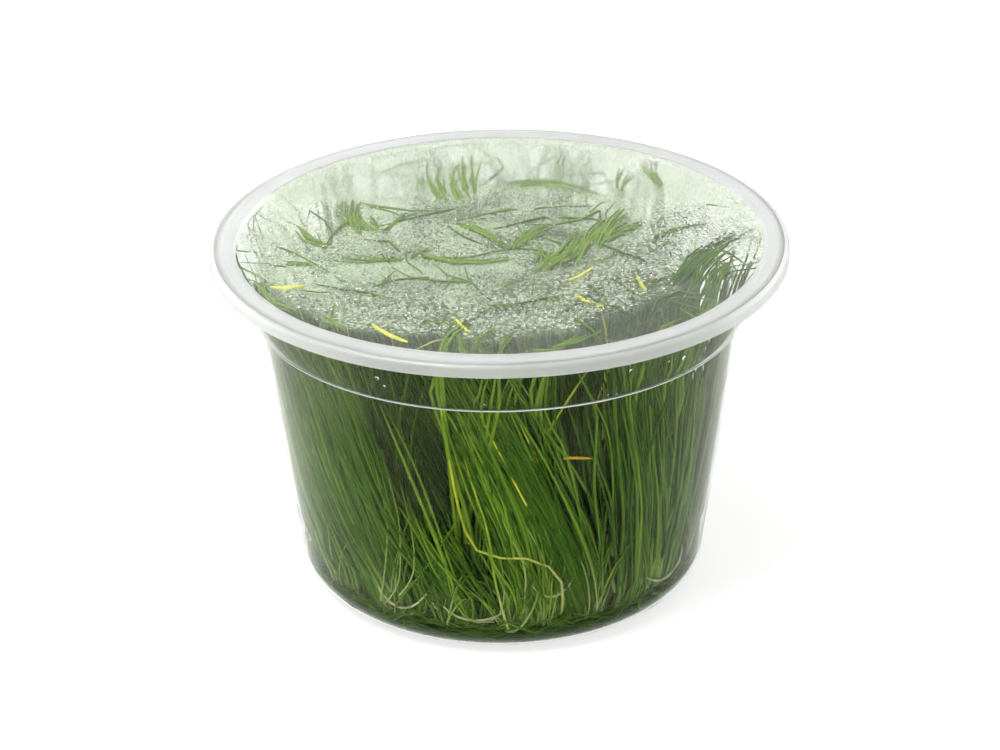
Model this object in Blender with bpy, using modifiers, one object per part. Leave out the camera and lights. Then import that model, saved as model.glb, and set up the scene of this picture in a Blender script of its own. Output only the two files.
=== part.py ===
"""Dwarf hairgrass grown in a clear culture cup, sealed with a flat film lid."""

import math
import random

import bmesh
import bpy
from mathutils import Vector

MM = 0.001

# The cup, in millimetres
CUP_HEIGHT = 62.5
RIM_RADIUS = 50.0
PLASTIC = 0.65
SKIRT_DROP = 2.1
RIM_ROUNDING = 0.75
MOUTH_RADIUS = 45.9
MOUTH_ROUNDING = 0.4
SHOULDER_DROP = 11.65
SHOULDER_RISE = 0.55
SHOULDER_OUTER = 42.15
SHOULDER_INNER = 40.9
BASE_RADIUS = 34.35
BASE_ROUNDING = 5.5
TURN_STEPS = 56

# The film lid and the gel
TOUCH_GAP = 0.3
FILM_RADIUS = 49.1
FILM_THICKNESS = 0.2
GEL_DEPTH = 4.0
GEL_SIDE_RISES = (1.0, 0.45, 0.12, 0.0)

# The plantlets: rings of crowns on the gel, each with the share of the free radius where it stands
RINGS = ((1, 0.0), (5, 0.31), (10, 0.60), (16, 0.885))
CROWN_RADIUS = 1.7
BLADES_PER_TUFT = 5
BLADE_BASE = 0.46
BLADE_TIP = 0.17
BLADE_FOOT = 0.85
TAPER_CURVE = 1.5
BLADE_RISES = (0.0, 0.34, 0.64, 0.86, 1.0)
WALL_ROOM_LOW = 2.6
WALL_ROOM_HIGH = 1.1
ROOM_NARROWS_OVER = 20.0
TALLEST_TIP = 61.1
TIP_SPREAD = 4.5
SHORT_BLADE = 44.0
SHORT_SHARE = 0.15
CELL_DEPTH = 0.115
CELL_WIDTH = 0.80
MIDDLE_SPREAD = 0.14
FAN_CURVE = 0.8
SHORTEST_REACH = 0.78

# How the blades sway round the cup by their tips, in radians
SWAY_MEAN = -0.12
SWAY_SWING = -0.45
SWAY_BEARING = math.radians(-30.0)
SWAY_AT_TIP = 0.32
SWAY_TIP_CURVE = 5

# Runners: bearing of the middle and half width in degrees, lowest and highest point above the gel
RUNNER_RADIUS = 0.42
RUNNER_TAPER = 0.25
RUNNER_WALL_GAP = 1.25
RUNNER_STEPS = 6
RUNNER_END_ROOM = 2.6
RUNNER_END_CURVE = 5
RUNNERS = (
    (-31.0, 11.0, 1.2, 7.5),
    (-8.5, 12.0, 1.0, 4.5),
    (13.5, 9.0, 5.5, 12.0),
    (55.0, 14.0, 1.0, 6.0),
    (98.0, 12.0, 1.5, 8.0),
    (150.0, 14.0, 1.0, 5.0),
    (-140.0, 13.0, 1.2, 7.0),
    (-85.0, 14.0, 1.0, 6.5),
)

# Loose yellowed cut ends: both ends as x and y, and the height of the middle
SCRAP_RADIUS = 0.34
SCRAP_END = 0.2
SCRAP_BOW = 0.35
UNDER_FILM = 61.95
SCRAPS = (
    ((-38.7, -17.2), (-32.8, -17.0), UNDER_FILM),
    ((-21.1, -32.6), (-15.2, -39.2), UNDER_FILM),
    ((11.7, -16.0), (15.7, -11.3), UNDER_FILM),
    ((23.2, -14.7), (24.5, -20.4), UNDER_FILM),
    ((12.6, -22.0), (17.1, -26.5), UNDER_FILM),
    ((-7.5, -30.4), (-5.0, -35.8), UNDER_FILM),
)


def remove_everything():
    for thing in list(bpy.data.objects):
        bpy.data.objects.remove(thing, do_unlink=True)


def new_collection(name):
    group = bpy.data.collections.new(name)
    bpy.context.scene.collection.children.link(group)
    return group


def new_material(name, colour, roughness, alpha=1.0, transmission=0.0):
    material = bpy.data.materials.new(name)
    material.use_nodes = True
    shader = material.node_tree.nodes["Principled BSDF"]
    shader.inputs["Base Color"].default_value = (*colour, 1.0)
    shader.inputs["Roughness"].default_value = roughness
    shader.inputs["Metallic"].default_value = 0.0
    shader.inputs["Transmission Weight"].default_value = transmission
    shader.inputs["Alpha"].default_value = alpha
    material.diffuse_color = (*colour, alpha)
    return material


def arc(centre, radius, start, end, steps):
    """Points on a circle in the profile plane, from one angle to the other, both included."""
    points = []
    for step in range(steps + 1):
        angle = start + (end - start) * step / steps
        points.append((centre[0] + radius * math.cos(angle), centre[1] + radius * math.sin(angle)))
    return points


# The inside of the cup
FLOOR = PLASTIC
SHOULDER_TOP = CUP_HEIGHT - SHOULDER_DROP
SHOULDER_FOOT = SHOULDER_TOP - SHOULDER_RISE
WALL_SLOPE = (SHOULDER_INNER - BASE_RADIUS) / SHOULDER_FOOT
WALL_LEAN = math.atan(WALL_SLOPE)
CORNER_X = BASE_RADIUS + WALL_SLOPE * (FLOOR + BASE_ROUNDING) - BASE_ROUNDING / math.cos(WALL_LEAN)
CORNER_Z = FLOOR + BASE_ROUNDING
CORNER_TOP = CORNER_Z - BASE_ROUNDING * math.sin(WALL_LEAN)
MOUTH_FOOT = CUP_HEIGHT - MOUTH_ROUNDING


def inner_radius(z, clearance=0.0):
    """Radius of the cup's inner face at a height, less a clearance from it."""
    if z >= SHOULDER_TOP:
        share = (z - SHOULDER_TOP) / (MOUTH_FOOT - SHOULDER_TOP)
        return SHOULDER_OUTER + (MOUTH_RADIUS - SHOULDER_OUTER) * share - clearance
    if z >= CORNER_TOP:
        return BASE_RADIUS + WALL_SLOPE * z - clearance / math.cos(WALL_LEAN)
    return CORNER_X + math.sqrt((BASE_ROUNDING - clearance) ** 2 - (CORNER_Z - z) ** 2)


def turned(name, profile, group, material, steps):
    """A profile in the XZ plane, swept once round the Z axis."""
    mesh = bpy.data.meshes.new(name)
    points = [(x * MM, 0.0, z * MM) for x, z in profile]
    mesh.from_pydata(points, [(i, i + 1) for i in range(len(points) - 1)], [])
    thing = bpy.data.objects.new(name, mesh)
    group.objects.link(thing)
    thing.data.materials.append(material)
    screw = thing.modifiers.new("Turn", "SCREW")
    screw.steps = steps
    screw.render_steps = steps
    screw.use_merge_vertices = True
    screw.merge_threshold = 0.00001
    screw.use_smooth_shade = False
    return thing


def make_cup(group, material):
    """Skirt, flange, inner wall and floor as one face, thickened away from the hollow."""
    skirt_foot = CUP_HEIGHT - SKIRT_DROP
    rim_centre = (RIM_RADIUS - RIM_ROUNDING, CUP_HEIGHT - RIM_ROUNDING)
    profile = [(RIM_RADIUS, skirt_foot)]
    profile += arc(rim_centre, RIM_ROUNDING, 0.0, math.pi / 2, 2)
    profile.append((MOUTH_RADIUS + MOUTH_ROUNDING, CUP_HEIGHT))
    profile.append((MOUTH_RADIUS, MOUTH_FOOT))
    profile.append((SHOULDER_OUTER, SHOULDER_TOP))
    profile.append((SHOULDER_INNER, SHOULDER_FOOT))
    profile += arc((CORNER_X, CORNER_Z), BASE_ROUNDING, -WALL_LEAN, -math.pi / 2, 3)
    profile.append((0.0, FLOOR))
    cup = turned("cup", profile, group, material, TURN_STEPS)
    wall = cup.modifiers.new("Wall", "SOLIDIFY")
    wall.thickness = PLASTIC * MM
    wall.offset = 1.0
    wall.use_even_offset = True
    return cup


def make_film(group, material):
    mesh = bpy.data.meshes.new("film_lid")
    shape = bmesh.new()
    bmesh.ops.create_cone(
        shape, cap_ends=True, segments=TURN_STEPS,
        radius1=FILM_RADIUS * MM, radius2=FILM_RADIUS * MM, depth=FILM_THICKNESS * MM)
    shape.to_mesh(mesh)
    shape.free()
    mesh.materials.append(material)
    film = bpy.data.objects.new("film_lid", mesh)
    film.location.z = (CUP_HEIGHT + TOUCH_GAP + FILM_THICKNESS / 2) * MM
    group.objects.link(film)
    return film


def make_gel(group, material):
    """The gel fills the rounded floor of the cup, a touch gap clear of it."""
    foot = FLOOR + TOUCH_GAP
    top = foot + GEL_DEPTH
    profile = [(0.0, top)]
    for rise in GEL_SIDE_RISES:
        z = foot + GEL_DEPTH * rise
        profile.append((inner_radius(z, TOUCH_GAP), z))
    profile.append((0.0, foot))
    return turned("nutrient_gel", profile, group, material, TURN_STEPS)


GEL_TOP = FLOOR + TOUCH_GAP + GEL_DEPTH
CROWN_HEIGHT = GEL_TOP + TOUCH_GAP + CROWN_RADIUS


def smooth(share):
    share = min(max(share, 0.0), 1.0)
    return share * share * (3.0 - 2.0 * share)


def free_radius(z):
    """How far from the axis a blade may stand at a height: more room is left low down, for the runners."""
    narrowed = smooth((z - CROWN_HEIGHT) / ROOM_NARROWS_OVER)
    room = WALL_ROOM_LOW + (WALL_ROOM_HIGH - WALL_ROOM_LOW) * narrowed
    return inner_radius(z) - room


def sway(bearing):
    """How far a blade that starts at a bearing has turned round the cup by its tip."""
    return SWAY_MEAN + SWAY_SWING * math.cos(bearing - SWAY_BEARING)


def place(share, bearing, z):
    """A point at a share of the free radius; bearings count from the front, -Y, towards +X."""
    rise = (z - CROWN_HEIGHT) / (TALLEST_TIP - CROWN_HEIGHT)
    bend = (1.0 - SWAY_AT_TIP) * rise + SWAY_AT_TIP * rise ** SWAY_TIP_CURVE
    turned_bearing = bearing + sway(bearing) * bend
    radius = share * free_radius(z)
    return Vector((radius * math.sin(turned_bearing), -radius * math.cos(turned_bearing), z))


def blade_points(share, bearing, half_width, around, reach, tip_z):
    """The middle line of one blade, from inside its crown to its tip."""
    foot = Vector((0.0, 0.0, 0.0))
    foot.x = BLADE_FOOT * math.sin(around + bearing)
    foot.y = -BLADE_FOOT * math.cos(around + bearing)
    points = []
    for rise in BLADE_RISES:
        z = CROWN_HEIGHT + (tip_z - CROWN_HEIGHT) * rise
        fan = reach * rise ** FAN_CURVE
        if share > 0.0:
            at_share = share + CELL_DEPTH * math.cos(around) * fan
            at_bearing = bearing + half_width * math.sin(around) * fan
        else:
            at_share = MIDDLE_SPREAD * fan
            at_bearing = around
        points.append(place(at_share, at_bearing, z) + foot * (1.0 - rise))
    return points


def curve_object(name, lines, group, section):
    """Polylines swept with a three-sided section; each point is a place and a half thickness."""
    curve = bpy.data.curves.new(name, "CURVE")
    curve.dimensions = "3D"
    curve.bevel_mode = "OBJECT"
    curve.bevel_object = section
    curve.use_fill_caps = True
    for line in lines:
        spline = curve.splines.new("POLY")
        spline.points.add(len(line) - 1)
        for point, (at, half) in zip(spline.points, line):
            point.co = (at.x * MM, at.y * MM, at.z * MM, 1.0)
            point.radius = half
    thing = bpy.data.objects.new(name, curve)
    group.objects.link(thing)
    return thing


def curve_to_mesh(thing, group):
    """The swept curve as a mesh with welded caps; the curve itself is removed."""
    name = thing.name
    evaluated = thing.evaluated_get(bpy.context.evaluated_depsgraph_get())
    mesh = bpy.data.meshes.new_from_object(evaluated)
    shape = bmesh.new()
    shape.from_mesh(mesh)
    bmesh.ops.remove_doubles(shape, verts=shape.verts, dist=0.000001)
    bmesh.ops.recalc_face_normals(shape, faces=shape.faces)
    shape.to_mesh(mesh)
    shape.free()
    matrix = thing.matrix_world.copy()
    curve = thing.data
    bpy.data.objects.remove(thing, do_unlink=True)
    bpy.data.curves.remove(curve)
    mesh.name = name
    solid = bpy.data.objects.new(name, mesh)
    solid.matrix_world = matrix
    group.objects.link(solid)
    return solid


def make_section(group):
    """A small triangle that every blade and runner is swept with, one millimetre from middle to corner."""
    curve = bpy.data.curves.new("blade_section", "CURVE")
    curve.dimensions = "2D"
    spline = curve.splines.new("POLY")
    spline.points.add(2)
    for point, corner in zip(spline.points, range(3)):
        angle = math.tau * corner / 3
        point.co = (MM * math.cos(angle), MM * math.sin(angle), 0.0, 1.0)
    spline.use_cyclic_u = True
    section = bpy.data.objects.new("blade_section", curve)
    group.objects.link(section)
    return section


def make_crown(name, at, group, material):
    mesh = bpy.data.meshes.new(name)
    shape = bmesh.new()
    bmesh.ops.create_icosphere(shape, subdivisions=1, radius=CROWN_RADIUS * MM)
    shape.to_mesh(mesh)
    shape.free()
    mesh.materials.append(material)
    crown = bpy.data.objects.new(name, mesh)
    crown.location = at * MM
    group.objects.link(crown)
    return crown


def make_tuft(name, share, bearing, half_width, rng, parts, cutters, section, material):
    """One plantlet: a crown on the gel, joined with the blades that fan out of it."""
    phase = rng.uniform(0.0, math.tau)
    lines = []
    for blade in range(BLADES_PER_TUFT):
        around = phase + math.tau * blade / BLADES_PER_TUFT
        reach = rng.uniform(SHORTEST_REACH, 1.0)
        tip_z = TALLEST_TIP - TIP_SPREAD * rng.random() ** 2
        if rng.random() < SHORT_SHARE:
            tip_z = SHORT_BLADE + TIP_SPREAD * rng.random()
        points = blade_points(share, bearing, half_width, around, reach, tip_z)
        line = []
        for rise, point in zip(BLADE_RISES, points):
            half = BLADE_BASE + (BLADE_TIP - BLADE_BASE) * rise ** TAPER_CURVE
            line.append((point, half))
        lines.append(line)
    blades = curve_to_mesh(curve_object(name + "_blades", lines, cutters, section), cutters)
    blades.hide_render = True
    blades.display_type = "WIRE"
    crown = make_crown(name, place(share, bearing, CROWN_HEIGHT), parts, material)
    join = crown.modifiers.new("Blades", "BOOLEAN")
    join.operation = "UNION"
    join.solver = "EXACT"
    join.object = blades
    return crown


def make_tufts(parts, cutters, section, material):
    rng = random.Random(11)
    number = 0
    for ring, (count, share) in enumerate(RINGS):
        for step in range(count):
            number += 1
            bearing = math.tau * (step + 0.5 * (ring % 2)) / count
            half_width = CELL_WIDTH * math.pi / count
            name = "tuft_%02d" % number
            make_tuft(name, share, bearing, half_width, rng, parts, cutters, section, material)


def make_swept(name, line, parts, section, material):
    """One closed solid along a single line."""
    solid = curve_to_mesh(curve_object(name, [line], parts, section), parts)
    solid.data.materials.clear()
    solid.data.materials.append(material)
    solid.name = name
    return solid


def make_runner(name, middle, half_width, low, high, parts, section, material):
    """A stem that leaves one crown, dips along the wall and climbs to the next one."""
    line = []
    for step in range(RUNNER_STEPS + 1):
        across = 2.0 * step / RUNNER_STEPS - 1.0
        bearing = math.radians(middle + half_width * across)
        z = GEL_TOP + TOUCH_GAP + RUNNER_RADIUS + low + (high - low) * across ** 2
        inward = RUNNER_END_ROOM * abs(across) ** RUNNER_END_CURVE
        radius = inner_radius(z) - RUNNER_WALL_GAP - inward
        at = Vector((radius * math.sin(bearing), -radius * math.cos(bearing), z))
        line.append((at, RUNNER_RADIUS * (1.0 - RUNNER_TAPER * abs(across))))
    return make_swept(name, line, parts, section, material)


def make_scrap(name, start, end, z, parts, section, material):
    start = Vector((start[0], start[1], z))
    end = Vector((end[0], end[1], z))
    middle = (start + end) / 2 + Vector((0.0, 0.0, -SCRAP_BOW))
    line = [(start, SCRAP_END), (middle, SCRAP_RADIUS), (end, SCRAP_END)]
    return make_swept(name, line, parts, section, material)


def main():
    remove_everything()
    parts = new_collection("dwarf_hairgrass_cup")
    cutters = new_collection("cutters")
    plastic = new_material("clear_plastic", (0.86, 0.90, 0.87), 0.12, 0.35, 1.0)
    film = new_material("film", (0.92, 0.94, 0.92), 0.10, 0.25, 1.0)
    gel = new_material("gel", (0.55, 0.55, 0.32), 0.08, 0.5, 1.0)
    leaf = new_material("leaf", (0.09, 0.22, 0.03), 0.42)
    root = new_material("runner", (0.55, 0.56, 0.34), 0.50)
    straw = new_material("straw", (0.72, 0.62, 0.10), 0.50)

    make_cup(parts, plastic)
    make_film(parts, film)
    make_gel(parts, gel)
    section = make_section(cutters)
    make_tufts(parts, cutters, section, leaf)
    for number, (middle, half_width, low, high) in enumerate(RUNNERS, start=1):
        make_runner("runner_%02d" % number, middle, half_width, low, high, parts, section, root)
    for number, (start, end, z) in enumerate(SCRAPS, start=1):
        make_scrap("blade_scrap_%02d" % number, start, end, z, parts, section, straw)

    for thing in cutters.objects:
        thing.hide_render = True
        thing.display_type = "WIRE"


if __name__ == "__main__":
    main()
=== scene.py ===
"""Looks of dwarf hairgrass in a clear culture cup with a sealed film lid, laid out as an add-on."""

import math

import bmesh
import bpy
import numpy as np
from bpy.props import FloatProperty, FloatVectorProperty, IntProperty, PointerProperty
from mathutils import Matrix, Vector, noise


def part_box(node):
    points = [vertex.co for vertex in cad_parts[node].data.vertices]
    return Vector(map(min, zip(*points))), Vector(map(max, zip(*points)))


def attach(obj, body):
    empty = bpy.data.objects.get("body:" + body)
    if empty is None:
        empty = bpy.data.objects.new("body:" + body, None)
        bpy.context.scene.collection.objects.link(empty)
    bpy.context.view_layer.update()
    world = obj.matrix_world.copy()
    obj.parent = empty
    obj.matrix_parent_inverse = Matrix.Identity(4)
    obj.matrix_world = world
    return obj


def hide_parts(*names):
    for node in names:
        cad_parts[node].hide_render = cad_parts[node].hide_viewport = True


bl_info = {
    "name": "Hairgrass Culture Cup",
    "version": (1, 0, 0),
    "blender": (4, 5, 0),
    "location": "View3D > Sidebar > Hairgrass",
    "description": "Makes the fine grass, clear cup, film lid, condensation and gel around the packed solids",
    "category": "Object",
}

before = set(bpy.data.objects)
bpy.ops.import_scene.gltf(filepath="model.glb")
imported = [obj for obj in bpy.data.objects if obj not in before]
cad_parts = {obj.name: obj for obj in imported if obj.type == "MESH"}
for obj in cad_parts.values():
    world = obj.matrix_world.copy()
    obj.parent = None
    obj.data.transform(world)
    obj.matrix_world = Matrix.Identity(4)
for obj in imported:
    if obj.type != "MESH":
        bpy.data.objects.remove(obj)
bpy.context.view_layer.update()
BODY = "root"
MM = 0.001


def top_corner(node):
    """Highest corner of a solid's box, in millimetres."""
    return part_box(node)[1] / MM


# The cup, in millimetres: its height and rim come from the solid, and the rest repeats the outside of its
# profile, with a thinner wall
CUP_CORNER = top_corner("cup")
CUP_HEIGHT = CUP_CORNER.z
RIM_RADIUS = CUP_CORNER.x
SOLID_WALL = 0.65
PLASTIC = 0.28
THINNER = SOLID_WALL - PLASTIC
SKIRT_DROP = 2.1
RIM_ROUNDING = 0.75
MOUTH_RADIUS = 45.9
MOUTH_ROUNDING = 0.4
SHOULDER_DROP = 11.65
SHOULDER_RISE = 0.55
SHOULDER_OUTER = 42.15 + THINNER
SHOULDER_INNER = 40.9 + THINNER
BASE_RADIUS = 34.35 + THINNER
BASE_ROUNDING = 5.5 + THINNER

FLOOR = PLASTIC
SHOULDER_TOP = CUP_HEIGHT - SHOULDER_DROP
SHOULDER_FOOT = SHOULDER_TOP - SHOULDER_RISE
WALL_SLOPE = (SHOULDER_INNER - BASE_RADIUS) / SHOULDER_FOOT
WALL_LEAN = math.atan(WALL_SLOPE)
CORNER_X = BASE_RADIUS + WALL_SLOPE * (FLOOR + BASE_ROUNDING) - BASE_ROUNDING / math.cos(WALL_LEAN)
CORNER_Z = FLOOR + BASE_ROUNDING
CORNER_TOP = CORNER_Z - BASE_ROUNDING * math.sin(WALL_LEAN)
MOUTH_FOOT = CUP_HEIGHT - MOUTH_ROUNDING

# The film and what hangs under it
FILM_RADIUS = top_corner("film_lid").x
FILM_FOOT = CUP_HEIGHT + 0.03
HAZE_GAP = 0.95
EDGE_GAP = 0.22
DROP_GAP = 0.10
WALL_MIST_GAP = 0.12
UNDER_FILM = CUP_HEIGHT - 0.5

# The gel and the crowns that stand on it
GEL_TOP = top_corner("nutrient_gel").z
TOUCH_GAP = 0.3
GEL_GAP = 0.04
GEL_CLIMB = 0.25
CROWN_HEIGHT = GEL_TOP + TOUCH_GAP + 1.7
RINGS = ((1, 0.0), (5, 0.31), (10, 0.60), (16, 0.885))
CROWN_ROOM = 2.6


def mixed(low, high, share):
    return low + (high - low) * share


def smooth(share):
    share = np.clip(share, 0.0, 1.0)
    return share * share * (3.0 - 2.0 * share)


def inner_radius(z, clearance=0.0):
    """Radius of the cup's inner face at a height, less a clearance from it; heights may be an array."""
    z = np.asarray(z, float)
    widening = (MOUTH_RADIUS - SHOULDER_OUTER) * (z - SHOULDER_TOP) / (MOUTH_FOOT - SHOULDER_TOP)
    upper = SHOULDER_OUTER + widening
    lower = BASE_RADIUS + WALL_SLOPE * z
    reach = np.clip((BASE_ROUNDING - clearance) ** 2 - (CORNER_Z - z) ** 2, 0.0, None)
    corner = CORNER_X + np.sqrt(reach) + clearance
    step = smooth((z - SHOULDER_FOOT) / SHOULDER_RISE)
    wall = np.where(z < CORNER_TOP, corner, mixed(lower, upper, step))
    return wall - clearance


def crown_places():
    """Ring, bearing in degrees (0 is the front, 90 the right side) and place of every plantlet's crown."""
    places = []
    for ring, (count, share) in enumerate(RINGS):
        radius = share * (float(inner_radius(CROWN_HEIGHT)) - CROWN_ROOM)
        for step in range(count):
            bearing = (360.0 * (step + 0.5 * (ring % 2)) / count + 180.0) % 360.0 - 180.0
            turn = math.radians(bearing)
            places.append((ring, bearing, radius * np.array((math.sin(turn), -math.cos(turn)))))
    return places


OUTER_RING = len(RINGS) - 1
PLACES = crown_places()


# Settings that a user would change

class CupSettings(bpy.types.PropertyGroup):
    turn_steps: IntProperty(
        name="Turn steps", description="Faces round the cup", default=176, min=48, max=256)
    plastic: FloatVectorProperty(
        name="Plastic", description="Tint of the clear wall", subtype="COLOR", default=(0.955, 0.975, 0.94))
    rim: FloatVectorProperty(
        name="Rim", description="Colour of the milky rim", subtype="COLOR", default=(0.985, 1.0, 0.985))


class FilmSettings(bpy.types.PropertyGroup):
    thickness: FloatProperty(
        name="Thickness", description="Thickness of the film", default=0.08 * MM, unit="LENGTH")
    wave: FloatProperty(
        name="Wave", description="How far the film waves up and down", default=0.11 * MM, unit="LENGTH")
    # The two mist colours are pale like fog; their green tint is painted light from the grass below the fog
    mist: FloatVectorProperty(
        name="Mist", description="Colour of the fogged film", subtype="COLOR", default=(0.48, 0.565, 0.385))
    wall_mist: FloatVectorProperty(
        name="Wall mist", description="Colour of the fogged wall", subtype="COLOR",
        default=(0.46, 0.56, 0.25))


class DropSettings(bpy.types.PropertyGroup):
    smallest: FloatProperty(
        name="Smallest", description="Width of the smallest drops", default=0.36 * MM, unit="LENGTH")
    largest: FloatProperty(
        name="Largest", description="Width of the largest drops", default=1.05 * MM, unit="LENGTH")
    seed: IntProperty(name="Seed", description="Another seed lays the drops out anew", default=4)


class GrassSettings(bpy.types.PropertyGroup):
    seed: IntProperty(name="Seed", description="Another seed grows other blades", default=7)
    half_width: FloatProperty(
        name="Half width", description="Half the width of a common blade", default=0.27 * MM, unit="LENGTH")
    deep: FloatVectorProperty(
        name="Deep green", description="The darkest blades", subtype="COLOR", default=(0.020, 0.066, 0.003))
    fresh: FloatVectorProperty(
        name="Fresh green", description="The common blades", subtype="COLOR", default=(0.053, 0.127, 0.008))
    lime: FloatVectorProperty(
        name="Lime", description="The lightest blades", subtype="COLOR", default=(0.18, 0.30, 0.026))
    straw: FloatVectorProperty(
        name="Straw", description="Yellowed blades", subtype="COLOR", default=(0.62, 0.60, 0.05))
    amber: FloatVectorProperty(
        name="Amber", description="Dead bits of blade", subtype="COLOR", default=(0.66, 0.36, 0.03))
    pale: FloatVectorProperty(
        name="Pale", description="Whitish feet of the blades", subtype="COLOR", default=(0.42, 0.46, 0.22))


class GelSettings(bpy.types.PropertyGroup):
    tint: FloatVectorProperty(
        name="Tint", description="Tint of the culture gel", subtype="COLOR", default=(0.50, 0.48, 0.14))
    density: FloatProperty(
        name="Density", description="How fast the gel takes on its tint", default=150.0, min=0.0)


class StageSettings(bpy.types.PropertyGroup):
    floor: FloatVectorProperty(
        name="Floor", description="Colour of the floor", subtype="COLOR", default=(0.35, 0.35, 0.345))
    glow: FloatProperty(name="Glow", description="How bright the floor itself is", default=0.73, min=0.0)
    sky: FloatProperty(name="Sky", description="Strength of the soft white surround", default=1.0, min=0.0)
    key: FloatProperty(
        name="Key light", description="Power of the large soft light", default=12.0, unit="POWER")


# Node trees

class Field:
    """A value that varies over a surface; an expression on it adds Math nodes."""

    def __init__(self, sheet, socket):
        self.sheet = sheet
        self.socket = socket

    def joined(self, operation, first, second):
        node = self.sheet.add("ShaderNodeMath", {"operation": operation}, {0: first, 1: second})
        return Field(self.sheet, node.outputs[0])

    def __add__(self, other):
        return self.joined("ADD", self, other)

    def __sub__(self, other):
        return self.joined("SUBTRACT", self, other)

    def __mul__(self, other):
        return self.joined("MULTIPLY", self, other)

    def __truediv__(self, other):
        return self.joined("DIVIDE", self, other)

    def __pow__(self, other):
        return self.joined("POWER", self, other)

    def __radd__(self, other):
        return self.joined("ADD", other, self)

    def __rsub__(self, other):
        return self.joined("SUBTRACT", other, self)

    def __rmul__(self, other):
        return self.joined("MULTIPLY", other, self)

    def clamped(self):
        return self.joined("MINIMUM", self.joined("MAXIMUM", self, 0.0), 1.0)

    def ranged(self, low, high):
        """0 below low, 1 above high, smooth between."""
        return self.sheet.smooth_range(self, low, high)


class Sheet:
    """One node tree; add() makes a node, sets it up, then fills or links its sockets."""

    def __init__(self, tree):
        self.tree = tree

    def add(self, kind, settings=None, sockets=None):
        node = self.tree.nodes.new(kind)
        for name, value in (settings or {}).items():
            if name == "stops":
                self.set_stops(node.color_ramp, value)
            else:
                setattr(node, name, value)
        for name, value in (sockets or {}).items():
            self.feed(node.inputs[name], value)
        return node

    def set_stops(self, ramp, stops):
        while len(ramp.elements) < len(stops):
            ramp.elements.new(1.0)
        for element, (position, colour) in zip(ramp.elements, stops):
            element.position = position
            element.color = (*colour, 1.0)

    def feed(self, socket, value):
        if isinstance(value, Field):
            value = value.socket
        if isinstance(value, bpy.types.NodeSocket):
            self.tree.links.new(value, socket)
        elif socket.type == "RGBA" and len(value) == 3:
            socket.default_value = (*value, 1.0)
        else:
            socket.default_value = value

    def attribute(self, name):
        node = self.add("ShaderNodeAttribute", {"attribute_name": name})
        return Field(self, node.outputs["Fac"])

    def place(self, scale=(1.0, 1.0, 1.0)):
        """Object coordinates, stretched by a scale."""
        coordinates = self.add("ShaderNodeTexCoord")
        sockets = {"Vector": coordinates.outputs["Object"], "Scale": scale}
        mapping = self.add("ShaderNodeMapping", None, sockets)
        return mapping.outputs["Vector"]

    def noise(self, scale, detail=2.0, vector=None, roughness=0.5):
        sockets = {"Vector": vector or self.place(), "Scale": scale, "Detail": detail, "Roughness": roughness}
        node = self.add("ShaderNodeTexNoise", None, sockets)
        return Field(self, node.outputs["Fac"])

    def smooth_range(self, value, low, high):
        settings = {"interpolation_type": "SMOOTHSTEP"}
        node = self.add("ShaderNodeMapRange", settings, {"Value": value, "From Min": low, "From Max": high})
        return Field(self, node.outputs["Result"])

    def blend(self, factor, first, second):
        """A colour between two colours."""
        node = self.add("ShaderNodeMix", {"data_type": "RGBA"}, {0: factor, 6: first, 7: second})
        return node.outputs[2]

    def ramp(self, factor, stops):
        node = self.add("ShaderNodeValToRGB", {"stops": stops}, {"Fac": factor})
        return node.outputs["Color"]

    def bump(self, height, distance):
        """A normal bent by a height; the distance is in metres."""
        sockets = {"Height": height, "Distance": distance, "Strength": 1.0}
        node = self.add("ShaderNodeBump", None, sockets)
        return node.outputs["Normal"]


def new_material(name):
    """A material, the sheet of its tree and its Principled shader."""
    material = bpy.data.materials.new(name)
    material.use_nodes = True
    sheet = Sheet(material.node_tree)
    return material, sheet, material.node_tree.nodes["Principled BSDF"]


def clear_plastic_material(settings):
    """Clear wall: faint scuffs in its gloss, and a very slight ripple."""
    material, sheet, shader = new_material("cup_wall")
    sheet.feed(shader.inputs["Base Color"], settings.plastic[:])
    shader.inputs["Transmission Weight"].default_value = 1.0
    shader.inputs["IOR"].default_value = 1.12
    sheet.feed(shader.inputs["Specular Tint"], (0.2, 0.2, 0.2))
    scuffs = sheet.noise(900.0, 4.0, sheet.place((1.0, 1.0, 0.3)), 0.7)
    ripple = sheet.noise(120.0, 1.0)
    sheet.feed(shader.inputs["Roughness"], 0.02 + scuffs.ranged(0.58, 0.85) * 0.12)
    sheet.feed(shader.inputs["Normal"], sheet.bump(ripple, 0.00008))
    return material


def rim_material(settings, name, clearness):
    """Milky rim, shoulder and skirt: frosted, with faint rings that follow the turn."""
    material, sheet, shader = new_material(name)
    place = sheet.add("ShaderNodeTexCoord")
    parts = sheet.add("ShaderNodeSeparateXYZ", None, {"Vector": place.outputs["Object"]})
    x = Field(sheet, parts.outputs["X"])
    y = Field(sheet, parts.outputs["Y"])
    radius = (x * x + y * y) ** 0.5
    rings = sheet.add("ShaderNodeCombineXYZ", None, {"X": radius * 40.0, "Y": x, "Z": y})
    streaks = sheet.noise(22.0, 3.0, rings.outputs["Vector"], 0.6)
    clouds = sheet.noise(60.0, 2.0)
    tone = (streaks * 0.6 + clouds * 0.4).ranged(0.36, 0.66)
    darker = tuple(channel * 0.91 for channel in settings.rim)
    sheet.feed(shader.inputs["Base Color"], sheet.blend(tone, darker, settings.rim[:]))
    sheet.feed(shader.inputs["Roughness"], 0.26 + clouds * 0.16)
    sheet.feed(shader.inputs["Normal"], sheet.bump(streaks, 0.00018))
    shader.inputs["Transmission Weight"].default_value = clearness
    shader.inputs["IOR"].default_value = 1.47
    return material


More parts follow.
